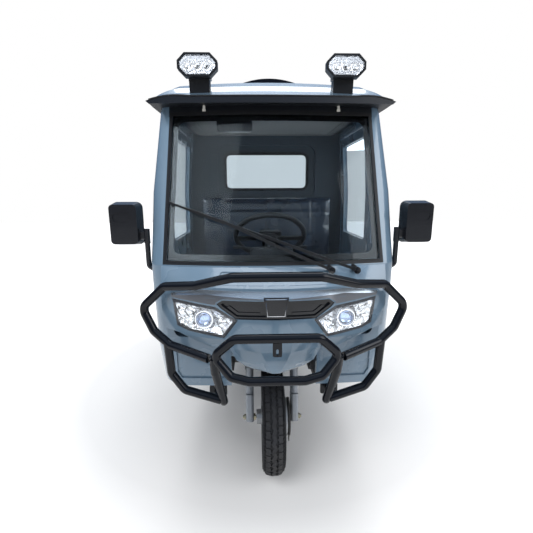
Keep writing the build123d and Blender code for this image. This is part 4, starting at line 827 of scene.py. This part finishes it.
def headlamp_projector(side):
    """A chrome cup and ring with its domed lens, on the lamp's round housing."""
    sign = side_sign[side]
    centre = (sign * projector_x, behind(-0.2765), projector_z)
    cup = [(0.0, 0.0), (-0.001, 0.012), (-0.004, 0.022), (-0.0095, 0.0285), (-0.0135, 0.0300), (-0.0165, 0.0325),
           (-0.0165, 0.0360), (-0.0135, 0.0385), (-0.009, 0.0395), (0.004, 0.0395), (0.004, 0.0)]
    ring = turned_section("headlamp_projector_ring_" + side, cup, centre, "Y", 48)
    dome = [(-0.003, 0.0), (-0.003, 0.016), (-0.0075, 0.0292), (-0.0120, 0.0292), (-0.0165, 0.0245),
            (-0.0205, 0.0165), (-0.0225, 0.008), (-0.0230, 0.0)]
    lens = turned_section("headlamp_projector_dome_" + side, dome, centre, "Y", 48)
    fitted(ring, "chassis", "edge_chrome")
    fitted(lens, "chassis", "lens_blue")


def headlamps():
    for side, corners in (("left", lamp_corners), ("right", mirrored(lamp_corners))):
        headlamp_bezel(side, corners)
        headlamp_reflector(side, corners)
        headlamp_projector(side)


# Work lamps on the visor

work_lamp_x = 0.307
bulb_gap, bulb_out = 0.038, 0.0165
bolt_out, bolt_up, bracket_back = 0.0435, 0.062, 0.032
connector_in, connector_back, connector_foot = 0.012, 0.030, 1.7460


def octagon(centre_x, centre_z, half_w, half_h, corner):
    return [(centre_x + half_w, centre_z + half_h - corner), (centre_x + half_w - corner, centre_z + half_h),
            (centre_x - half_w + corner, centre_z + half_h), (centre_x - half_w, centre_z + half_h - corner),
            (centre_x - half_w, centre_z - half_h + corner), (centre_x - half_w + corner, centre_z - half_h),
            (centre_x + half_w - corner, centre_z - half_h), (centre_x + half_w, centre_z - half_h + corner)]


def work_lamp_insides(side):
    """Stepped reflector with three projector bulbs in a row, behind the lens."""
    sign = side_sign[side]
    box_low, box_high = low("work_lamp_lenses"), high("work_lamp_lenses")
    half_w, half_h = box_high.x - work_lamp_x, (box_high.z - box_low.z) / 2
    x, z = sign * work_lamp_x, (box_high.z + box_low.z) / 2
    back = box_high.y
    cup = plate("work_lamp_reflector_" + side, octagon(x, z, half_w - 0.001, half_h - 0.001, 0.024), back + 0.0004)
    choose(cup, everything)
    inset(0.006, -0.003)
    inset(0.001, -0.0015)
    inset(0.010, -0.0025)
    inset(0.0008, -0.001)
    sliced(cup, "X", x - half_w, x + half_w, 26)
    closed_up(cup, 12, outwards=False)
    fitted(cup, "chassis", "fluted_chrome")
    bulb_cup = [(0.003, 0.0), (-0.001, 0.008), (-0.0042, bulb_out - 0.002), (-0.0046, bulb_out),
                (-0.0035, bulb_out + 0.0015), (0.003, bulb_out + 0.0015)]
    bulb_dome = [(-0.0012, 0.0), (-0.0030, bulb_out - 0.005), (-0.0040, bulb_out - 0.004), (-0.0046, 0.008),
                 (-0.0047, 0.0)]
    cups, domes = [], []
    for number in (-1, 0, 1):
        centre = (x + number * bulb_gap, back + 0.0048, z - 0.002)
        cups.append(turned_section("bulb_cup", bulb_cup, centre, "Y", 32))
        domes.append(turned_section("bulb_dome", bulb_dome, centre, "Y", 32))
    fitted(joined("work_lamp_bulb_cups_" + side, cups), "chassis", "edge_chrome")
    fitted(joined("work_lamp_bulb_domes_" + side, domes), "chassis", "lens_clear")


def work_lamp_bolts(side):
    """Hexagon bolts with washers on the bracket's two cheeks."""
    sign = side_sign[side]
    x, y = sign * work_lamp_x, behind(bracket_back)
    bolts = []
    for cheek in (-1, 1):
        centre = (x + cheek * bolt_out, y, low("work_lamps").z + bolt_up)
        washer = disc("washer", centre, "X", 0.0105, 0.0020, 24)
        head = disc("head", (centre[0] + cheek * 0.003, y, centre[2]), "X", 0.0075, 0.0050, 6)
        bolts += [washer, head]
    whole = joined("work_lamp_bolts_" + side, bolts)
    bevelled(whole, 0.0006)
    closed_up(whole)
    fitted(whole, "chassis", "bright_steel")


def work_lamp_connector(side):
    """The white connector under the visor, behind its lip."""
    x, y, z = side_sign[side] * (work_lamp_x - connector_in), behind(connector_back), connector_foot
    plug = bar("work_lamp_connector_" + side, (x - 0.007, y - 0.010, z), (x + 0.007, y + 0.010, z + 0.010))
    choose(plug, lambda place, normal: normal.z > 0.9)
    inset(0.0022)
    push(0.014, "Z")
    bevelled(plug, 0.0008)
    fitted(plug, "chassis", "connector_white")


def work_lamp_fittings():
    for side in ("left", "right"):
        work_lamp_insides(side)
        work_lamp_bolts(side)
        work_lamp_connector(side)


# Screen, badge and rear window

def screen_frit():
    """The black printed border inside the windscreen, with round inner corners."""
    first, last = low("windscreen_glass"), high("windscreen_glass")
    top_half = max(corner.co.x for corner in nodes["windscreen_glass"].data.vertices if corner.co.z > last.z - 0.01)
    corners = shrunk([(last.x, first.z), (top_half, last.z), (-top_half, last.z), (-last.x, first.z)], 0.0015)
    piece = plate("screen_frit", corners, front_of_all)
    choose(piece, everything)
    inset(0.025)
    choose(piece, lambda place, normal: abs(place.x) < 0.01 and first.z + 0.2 < place.z < last.z - 0.2)
    bpy.ops.mesh.delete(type="ONLY_FACE")
    choose(piece, lambda place, normal: first.z + 0.012 < place.z < last.z - 0.012, "VERT")
    bpy.ops.mesh.bevel(offset=0.030, segments=7, affect="VERTICES")
    sliced(piece, "X", -last.x, last.x, 30)
    laid_on(piece, "windscreen_glass", -0.0066)
    walled(piece, 0.0006, offset=-1.0)
    closed_up(piece)
    return fitted(piece, "chassis", "frit_black")


def badge_border():
    """A thin bright frame on the blank badge."""
    corners = [(-0.034, 0.9355), (-0.042, 1.0045), (0.042, 1.0045), (0.034, 0.9355)]
    piece = ring_of("badge_border", corners, 0.0026, front_of_all)
    sliced(piece, "X", -0.042, 0.042, 8)
    laid_on(piece, "grille_panel", 0.0004)
    walled(piece, 0.0016, offset=1.0)
    closed_up(piece)
    fitted(piece, "chassis", "edge_chrome")


rear_wall_front, rear_wall_back = 0.782, 0.800


def window_rubbers():
    """Rubber round the rear window, inside the cab and outside it."""
    first, last = low("rear_window_glass"), high("rear_window_glass")
    outline = rounded(first.x, last.x, first.z, last.z, 0.036)
    faces = []
    for y in (behind(rear_wall_front) - 0.006, behind(rear_wall_back)):
        face = ring_of("rubber", shrunk(outline, -0.008), 0.016, y)
        walled(face, 0.008, offset=0.0)
        closed_up(face)
        bevelled(face, 0.0025)
        faces.append(face)
    fitted(joined("rear_window_rubber", faces), "chassis", "seal_rubber")


# Cab lining

def headliner():
    """A cloth-covered panel under the roof, with a pressed border."""
    half_width, front, back, underside, top = 0.428, 0.115, 0.765, 1.7560, 1.7695
    piece = bar("headliner", (-half_width, behind(front), underside), (half_width, behind(back), top))
    choose(piece, lambda place, normal: normal.z < -0.9)
    inset(0.040)
    inset(0.006, -0.004)
    inset(0.006, 0.003)
    bpy.ops.mesh.inset(thickness=0.05)
    bevelled(piece, 0.003)
    closed_up(piece)
    fitted(piece, "chassis", "headliner")


def piped(name, points, radius, sides=8):
    """A round bead, wire or bar that follows places in space, made a mesh."""
    data = bpy.data.curves.new(name, "CURVE")
    data.dimensions = "3D"
    data.bevel_depth = radius
    data.bevel_resolution = max(1, sides // 4)
    data.use_fill_caps = True
    spline = data.splines.new("NURBS")
    spline.points.add(len(points) - 1)
    for point, place in zip(spline.points, points):
        point.co = (*place, 1.0)
    spline.order_u = 3
    spline.resolution_u = 6
    spline.use_endpoint_u = True
    piece = bpy.data.objects.new(name, data)
    bpy.context.scene.collection.objects.link(piece)
    only(piece)
    bpy.ops.object.convert(target="MESH")
    piece = bpy.context.object
    bpy.ops.object.shade_smooth()
    return piece


def struck(node, start, direction):
    """Where a straight line from a place first meets a node."""
    hit, place = nodes[node].ray_cast(Vector(start), Vector(direction))[:2]
    return place if hit else None


def visor_bead():
    """A black rubber bead along the visor's bowed lip."""
    half_width, steps = 0.518, 24
    points = []
    for step in range(steps + 1):
        x = -half_width + 2 * half_width * step / steps
        lip = struck("roof_panel", (x, front_of_all, low("roof_panel").z + 0.004), (0, 1, 0))
        top = struck("roof_panel", (x, lip.y + 0.003, 2.2), (0, 0, -1))
        points.append((x, lip.y - 0.0005, top.z - 0.0008))
    fitted(piped("visor_bead", points, 0.0032), "chassis", "seal_rubber")


def brow_painted_shade_band():
    """A grey band on the lower half of the brow: painted shade on the silver brow, under its bright upper half."""
    lower = [(-0.4135, 0.9905), (-0.2340, 0.9745), (-0.2320, 0.9835), (-0.2060, 0.9985), (-0.0600, 0.9985),
             (-0.0600, 1.0035), (-0.2720, 1.0135), (-0.4130, 0.9995)]
    halves = []
    for outline in (lower, mirrored(lower)):
        half = plate("band", outline, front_of_all)
        sliced(half, "X", min(x for x, z in outline), max(x for x, z in outline), 14)
        laid_on(half, "front_fascia", 0.0002)
        walled(half, 0.003, offset=1.0)
        closed_up(half)
        halves.append(half)
    fitted(joined("brow_painted_shade_band", halves), "chassis", "brow_painted_shade_grey")


# Seat: the solids are drawn in a little and blown up as cloth, then sewn

def inflated(node, name, shrink, pressure, cap, voxel):
    """A padded form grown from a soft solid by cloth under pressure."""
    piece = copied(nodes[node], name)
    middle = (low(node) + high(node)) / 2
    only(piece)
    closed_up(piece)
    for corner in piece.data.vertices:
        toward = middle - corner.co
        corner.co += Vector([min(shrink, abs(part)) * (1 if part > 0 else -1) for part in toward])
    only(piece)
    piece.data.remesh_voxel_size = voxel
    bpy.ops.object.voxel_remesh()
    before = [corner.co.copy() for corner in piece.data.vertices]
    cloth = piece.modifiers.new("filling", "CLOTH")
    cloth.settings.use_pressure = True
    cloth.settings.uniform_pressure_force = pressure
    cloth.settings.effector_weights.gravity = 0.0
    cloth.settings.quality = 3
    cloth.settings.tension_stiffness = 25
    cloth.settings.compression_stiffness = 25
    cloth.settings.bending_stiffness = 2.0
    cloth.point_cache.frame_start = 1
    cloth.point_cache.frame_end = 20
    for number in range(1, 21):
        bpy.context.scene.frame_set(number)
    bpy.ops.object.modifier_apply(modifier=cloth.name)
    bpy.context.scene.frame_set(1)
    for corner, was in zip(piece.data.vertices, before):
        moved = corner.co - was
        if moved.length > cap:
            corner.co = was + moved * (cap / moved.length)
    return piece


def sewn(piece, axis, places, depth, half_width, face):
    """Presses straight sewn channels into the padded face that looks along a direction."""
    number_of = "XYZ".index(axis)
    for corner in piece.data.vertices:
        if corner.normal.dot(face) < 0.25:
            continue
        for place in places:
            off = abs(corner.co[number_of] - place) / half_width
            if off < 1.0:
                corner.co -= face * depth * (0.5 + 0.5 * cos(pi * off))


def padded_piece(node, name, face, channels):
    """A seat pad: blown up, sewn, smoothed, and kept off what carries it."""
    piece = inflated(node, name, shrink=0.007, pressure=3.2, cap=0.012, voxel=0.010)
    piece.data.update()
    for axis, places in channels:
        sewn(piece, axis, places, depth=0.007, half_width=0.014, face=face)
    modified(piece, "SMOOTH", factor=0.5, iterations=3)
    modified(piece, "SUBSURF", levels=1, render_levels=1)
    first, last = low(node), high(node)
    for corner in piece.data.vertices:
        corner.co.z = max(corner.co.z, first.z + 0.0005)
        corner.co.y = min(corner.co.y, last.y - 0.0005)
    only(piece)
    bpy.ops.object.shade_smooth()
    fitted(piece, "chassis", "seat_vinyl")
    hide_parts(node)


def seat():
    fill, upright_channels = 0.75, ("X", (-0.29, 0.0, 0.29))
    padded_piece("seat_cushion", "seat_cushion_padded", Vector((0, 0, 1)),
                 (upright_channels, ("Y", (low("seat_cushion").y + 0.075,))))
    padded_piece("seat_back", "seat_back_padded", Vector((0, -1, 0)),
                 (upright_channels, ("Z", (high("seat_back").z - 0.11, low("seat_back").z + 0.14))))


# Driving controls

def dial_cluster():
    """A hooded instrument pod with a blank display on the dashboard, and its switches."""
    place = joint_place["steering_wheel_turn"]
    top = high("dashboard").z
    pod = bar("instrument_pod", (place.x - 0.115, behind(-0.035), top - 0.028),
              (place.x + 0.115, behind(0.052), top + 0.052))
    choose(pod, lambda at, normal: normal.y > 0.9)
    inset(0.010)
    push(-0.012, "Y")
    choose(pod, lambda at, normal: normal.z > 0.9 and at.z > top + 0.04)
    bpy.ops.transform.resize(value=(0.82, 0.8, 1.0))
    bevelled(pod, 0.006, 3)
    closed_up(pod)
    fitted(pod, "chassis", "dash_plastic")
    face = plate("instrument_display", rounded(place.x - 0.092, place.x + 0.092, top - 0.012, top + 0.036, 0.008),
                 behind(0.041))
    walled(face, 0.003, offset=0.0)
    closed_up(face)
    fitted(face, "chassis", "dial_screen")
    first_switch, switch_gap, switches = -0.30, 0.046, []
    for number in range(5):
        x = first_switch + number * switch_gap
        key = bar("key", (x - 0.017, behind(0.052), 0.985), (x + 0.017, behind(0.0665), 1.010))
        choose(key, lambda at, normal: normal.y > 0.9)
        inset(0.003)
        push(0.003, "Y")
        bevelled(key, 0.0012)
        switches.append(key)
    fitted(closed_up(joined("dashboard_switches", switches)), "chassis", "gloss_plastic")


def steering_wheel_trim():
    """The horn pad and the two stalks with their knobs."""
    joint = [j for j in frame["joints"] if j["name"] == "steering_wheel_turn"][0]
    axis = Vector(joint["axis"]).normalized()
    axis = axis if axis.z > 0 else -axis
    lean = atan2(axis.y, axis.z)
    hub = Vector((0, behind(0.234), 1.171))
    pad = bar("horn_pad", (-0.062, -0.050, -0.006), (0.062, 0.042, 0.016))
    choose(pad, lambda at, normal: normal.z > 0.9)
    bpy.ops.transform.resize(value=(0.8, 0.8, 1.0))
    bevelled(pad, 0.009, 4)
    choose(pad, lambda at, normal: normal.z > 0.97 and at.z > 0.01)
    inset(0.008)
    inset(0.002, -0.0012)
    closed_up(pad)
    stand = Matrix.Translation(hub) @ Matrix.Rotation(-lean, 4, "X")
    pad.data.transform(stand)
    fitted(pad, "steering_wheel", "dash_plastic")
    stalks = []
    for side in (1, -1):
        start = Vector((side * 0.030, 0.0, -0.085))
        route = [start, start + Vector((side * 0.05, -0.004, 0.004)), start + Vector((side * 0.11, -0.006, 0.012)),
                 start + Vector((side * 0.150, -0.006, 0.014))]
        stalk = piped("stalk", [stand @ point for point in route], 0.0055, 12)
        knob = disc("knob", (side * 0.172, -0.006, -0.071), "X", 0.0085, 0.040, 20)
        bevelled(knob, 0.003, 3)
        knob.data.transform(stand)
        stalks += [stalk, knob]
    fitted(joined("column_stalks", stalks), "chassis", "black_plastic")


# Wiper dressing

def wiper_dressing():
    """The blade's rubber edge, and the nuts on the two spindles."""
    first, last, steps = Vector((-0.440, 0, 1.358)), Vector((-0.001, 0, 1.209)), 16
    points, pieces = [], []
    for step in range(steps + 1):
        at = first.lerp(last, step / steps)
        glass_at = struck("windscreen_glass", (at.x, front_of_all, at.z), (0, 1, 0))
        points.append((at.x, glass_at.y - 0.0032, at.z - 0.0005))
    edge = piped("wiper_rubber", points, 0.0024, 8)
    fitted(edge, "chassis", "seal_rubber")
    for x, z in ((0.225, 1.094), (0.326, 1.094)):
        nut = disc("spindle_nut", (x, behind(-0.279), z), "Y", 0.0075, 0.010, 6)
        cap = disc("spindle_cap", (x, behind(-0.2725), z), "Y", 0.0145, 0.006, 28)
        bevelled(nut, 0.0008)
        bevelled(cap, 0.0018, 3)
        pieces += [nut, cap]
    fitted(closed_up(joined("wiper_nuts", pieces)), "chassis", "gloss_plastic")


# Front and rear tyres: a spun carcass with tread blocks laid round it

tread_depth = 0.0070


def crown_radius(x, radius, width):
    """The outer radius of the tread at a place across the tyre, as the solid tyre has it."""
    places = [(0.0, radius), (width / 4, radius - 0.002), (width / 2 - 0.015, radius - 0.009),
              (width / 2 - 0.005, radius - 0.026), (width / 2, radius - 0.07)]
    x = abs(x)
    for (x0, r0), (x1, r1) in zip(places, places[1:]):
        if x <= x1:
            return r0 + (r1 - r0) * (x - x0) / (x1 - x0)
    return places[-1][1]


def tread_outlines(width, pitch):
    """One pitch of the tread, flat, as (across, around): zigzag rib, S-shaped blocks and shoulders."""
    wave = 0.040 * width
    rib = 0.085 * width
    groove = 0.034 * width
    inner = rib + wave + groove
    outer = 0.355 * width
    edge = 0.45 * width
    half, gap = pitch / 2, 0.0046
    centre = [(-rib - wave, 0), (-rib + wave, half), (-rib - wave, pitch), (rib - wave, pitch),
              (rib + wave, half), (rib - wave, 0)]
    outlines = [centre]
    for side in (1, -1):
        start = 0.0 if side > 0 else half
        a, b = start + gap / 2, start + pitch - gap / 2
        step = (b - a) / 4
        block = [(inner - wave * 0.6, a), (inner + wave * 0.9, a + step), (inner - wave * 0.9, a + 2 * step),
                 (inner + wave * 0.4, a + 3 * step), (inner, b), (outer - 0.3 * wave, b),
                 (outer + 0.5 * wave, a + 3 * step), (outer - 0.6 * wave, a + 2 * step),
                 (outer + 0.5 * wave, a + step), (outer - 0.2 * wave, a)]
        outlines.append([(side * x, y) for x, y in block])
        for number in range(2):
            c = start + number * half + 0.0012
            d = start + (number + 1) * half - 0.0012
            shoulder = [(outer + groove + wave * 0.3, c), (outer + groove - wave * 0.2, d), (edge, d + 0.002),
                        (edge, c + 0.002)]
            outlines.append([(side * x, y) for x, y in shoulder])
    return outlines


def tread_pitch(width, pitch):
    """The blocks of one pitch as one mesh, standing on the ground plane."""
    blocks = []
    for outline in tread_outlines(width, pitch):
        nothing_chosen()
        bpy.ops.mesh.primitive_circle_add(vertices=len(outline), fill_type="NGON")
        block = started("tread_block")
        for corner, (x, y) in zip(block.data.vertices, outline):
            corner.co = (x, y, 0.0)
        choose(block, everything)
        push(tread_depth - 0.0008, "Z")
        bpy.ops.mesh.extrude_region_move(TRANSFORM_OT_translate={"value": (0, 0, 0.0008)})
        bpy.ops.transform.resize(value=(0.93, 0.95, 1.0))
        blocks.append(block)
    return joined("tread_pitch", blocks)


def tyre(name, node, body, centre, radius, width, pitches):
    """A tyre in place of its node: a carcass with a moulded line and bead, and the tread's blocks round it."""
    bead = 0.165
    mid = (bead + radius) / 2 + 0.004
    crown = [(x, crown_radius(x, radius, width) - tread_depth) for x in
             (0.0, width * 0.12, width * 0.25, width * 0.33, width * 0.40)]
    side = [(width * 0.45, radius - 0.018), (width / 2 - 0.0035, radius - 0.030), (width / 2 - 0.0012, mid + 0.017),
            (width / 2, mid + 0.0165), (width / 2, mid + 0.0135), (width / 2 - 0.0012, mid + 0.013),
            (width / 2 - 0.0012, mid - 0.004), (width / 2 - 0.004, bead + 0.030), (width / 2 - 0.0025, bead + 0.028),
            (width / 2 - 0.0030, bead + 0.024), (width / 2 - 0.0065, bead + 0.022), (0.050, bead + 0.008),
            (0.047, bead + 0.001), (0.040, bead), (0.036, bead - 0.012)]
    half = crown + side
    section = [(-x, r) for x, r in reversed(half[1:])] + half
    carcass = turned_section(name + "_carcass", section, centre, "X", 96)
    pitch = 2 * pi * (radius - tread_depth) / pitches
    strip = tread_pitch(width, pitch)
    rounds = []
    for number in range(pitches):
        wrap = copied(strip, "tread_round")
        for corner in wrap.data.vertices:
            x, y, z = corner.co
            angle = (y + number * pitch) / (radius - tread_depth)
            out = crown_radius(x, radius, width) - tread_depth + z - (0.0006 if z < 0.001 else 0.0)
            corner.co = Vector(centre) + Vector((x, -cos(angle) * out, sin(angle) * out))
        rounds.append(wrap)
    bpy.data.objects.remove(strip)
    whole = joined(name, [carcass, *rounds])
    only(whole)
    bpy.ops.object.mode_set(mode="EDIT")
    bpy.ops.mesh.select_all(action="SELECT")
    bpy.ops.mesh.normals_make_consistent(inside=False)
    only(whole)
    bpy.ops.object.shade_smooth_by_angle(angle=radians(28))
    fitted(whole, body, "tyre_rubber")
    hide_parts(node)


def tyres():
    tyre("front_tyre_tread", "front_tyre", "front_road_wheel", front_axle, radius=0.267, width=0.108, pitches=42)
    rear_half_track = 0.440
    for side, sign in side_sign.items():
        centre = joint_place["rear_spin_" + side].copy()
        centre.x = sign * rear_half_track
        tyre("rear_tyre_tread_" + side, "rear_tyre_" + side, "rear_road_wheel_" + side, centre, radius=0.280,
             width=0.122, pitches=44)


def background(tree, colour, strength=1.0):
    node = tree.nodes.new("ShaderNodeBackground")
    give(tree, node.inputs["Color"], colour)
    node.inputs["Strength"].default_value = strength
    return node.outputs[0]


def either(tree, factor, first, second):
    mix = tree.nodes.new("ShaderNodeMixShader")
    for number, source in enumerate((factor, first, second)):
        feed(tree, source, mix.inputs[number])
    return mix.outputs[0]


def seen_rays(tree):
    """The rays that show the background: the camera's own, and those through glass; and the node's outputs."""
    rays = tree.nodes.new("ShaderNodeLightPath").outputs
    return math_of(tree, "MAXIMUM", rays["Is Camera Ray"], rays["Is Transmission Ray"]), rays


def studio():
    """A white surround for the camera, a sky for reflections, and soft panels of light."""
    world = bpy.data.worlds.new("studio_surround")
    bpy.context.scene.world = world
    world.use_nodes = True
    tree = world.node_tree
    tree.nodes.clear()
    out = tree.nodes.new("ShaderNodeOutputWorld")
    light = background(tree, (0.92, 0.95, 1.0), 0.45)
    height = axes_of(tree, tree.nodes.new("ShaderNodeTexCoord").outputs["Generated"])["Z"]
    sky = tree.nodes.new("ShaderNodeValToRGB")
    steps = (
        (0.46, (0.20, 0.20, 0.21)),
        (0.52, (0.05, 0.06, 0.08)),
        (0.66, (0.13, 0.20, 0.33)),
        (0.80, (0.62, 0.74, 0.90)),
        (0.97, (0.50, 0.68, 0.95)),
    )
    ramp = sky.color_ramp.elements
    ramp[0].position, ramp[1].position = steps[0][0], steps[-1][0]
    for place, colour in steps[1:-1]:
        ramp.new(place)
    for element, (place, colour) in zip(ramp, steps):
        element.color = (*colour, 1.0)
    feed(tree, ramp_between(tree, height, -1.0, 1.0), sky.inputs["Fac"])
    seen, rays = seen_rays(tree)
    base = either(tree, rays["Is Glossy Ray"], light, background(tree, sky.outputs["Color"]))
    feed(tree, either(tree, seen, base, background(tree, (1.0, 1.0, 1.0))), out.inputs["Surface"])
    panels = (
        ("key_panel", (-2.6, -4.2, 4.6), 3.2, 190.0),
        ("fill_panel", (3.6, -3.2, 3.0), 3.0, 90.0),
        ("top_panel", (0.0, 0.6, 5.2), 4.0, 150.0),
        ("rear_panel", (1.8, 4.6, 3.6), 3.0, 120.0),
    )
    for name, place, size, power in panels:
        data = bpy.data.lights.new(name, "AREA")
        data.shape = "SQUARE"
        data.size = size
        data.energy = power
        lamp = bpy.data.objects.new(name, data)
        bpy.context.scene.collection.objects.link(lamp)
        lamp.location = place
        lamp.visible_glossy = name in ("top_panel", "fill_panel")
        lamp.rotation_euler = (Vector((0, 0, 0.8)) - Vector(place)).to_track_quat("-Z", "Y").to_euler()


def studio_floor():
    """A pale plain floor that keeps the vehicle's shadow and looks white around it."""
    nothing_chosen()
    bpy.ops.mesh.primitive_grid_add(x_subdivisions=4, y_subdivisions=4, size=30.0, location=(0, 0, 0))
    floor = started("studio_floor")
    material, tree, shader, vector = new_material("studio_floor")
    marks = placed_group(tree, surface_grain, vector, Scale=40.0, Slow_Scale=1.0)
    feed(tree, mixed(tree, marks["Mottle"], (0.84, 0.84, 0.84), (0.86, 0.86, 0.86)), shader.inputs["Base Color"])
    feed(tree, ramp_between(tree, marks["Height"], 0.0, 1.0, 0.8, 0.9), shader.inputs["Roughness"])
    away = tree.nodes.new("ShaderNodeVectorMath")
    away.operation = "LENGTH"
    feed(tree, vector, away.inputs[0])
    glow = math_of(tree, "MULTIPLY", ramp_between(tree, away.outputs["Value"], 1.3, 3.0), seen_rays(tree)[0])
    shader.inputs["Emission Color"].default_value = (1, 1, 1, 1)
    feed(tree, glow, shader.inputs["Emission Strength"])
    floor.data.materials.append(material)


place_camera()
studio()
studio_floor()
tyres()
headlamps()
work_lamp_fittings()
screen_frit()
badge_border()
window_rubbers()
headliner()
visor_bead()
brow_painted_shade_band()
seat()
dial_cluster()
steering_wheel_trim()
wiper_dressing()

bpy.context.scene.view_settings.view_transform = "Standard"
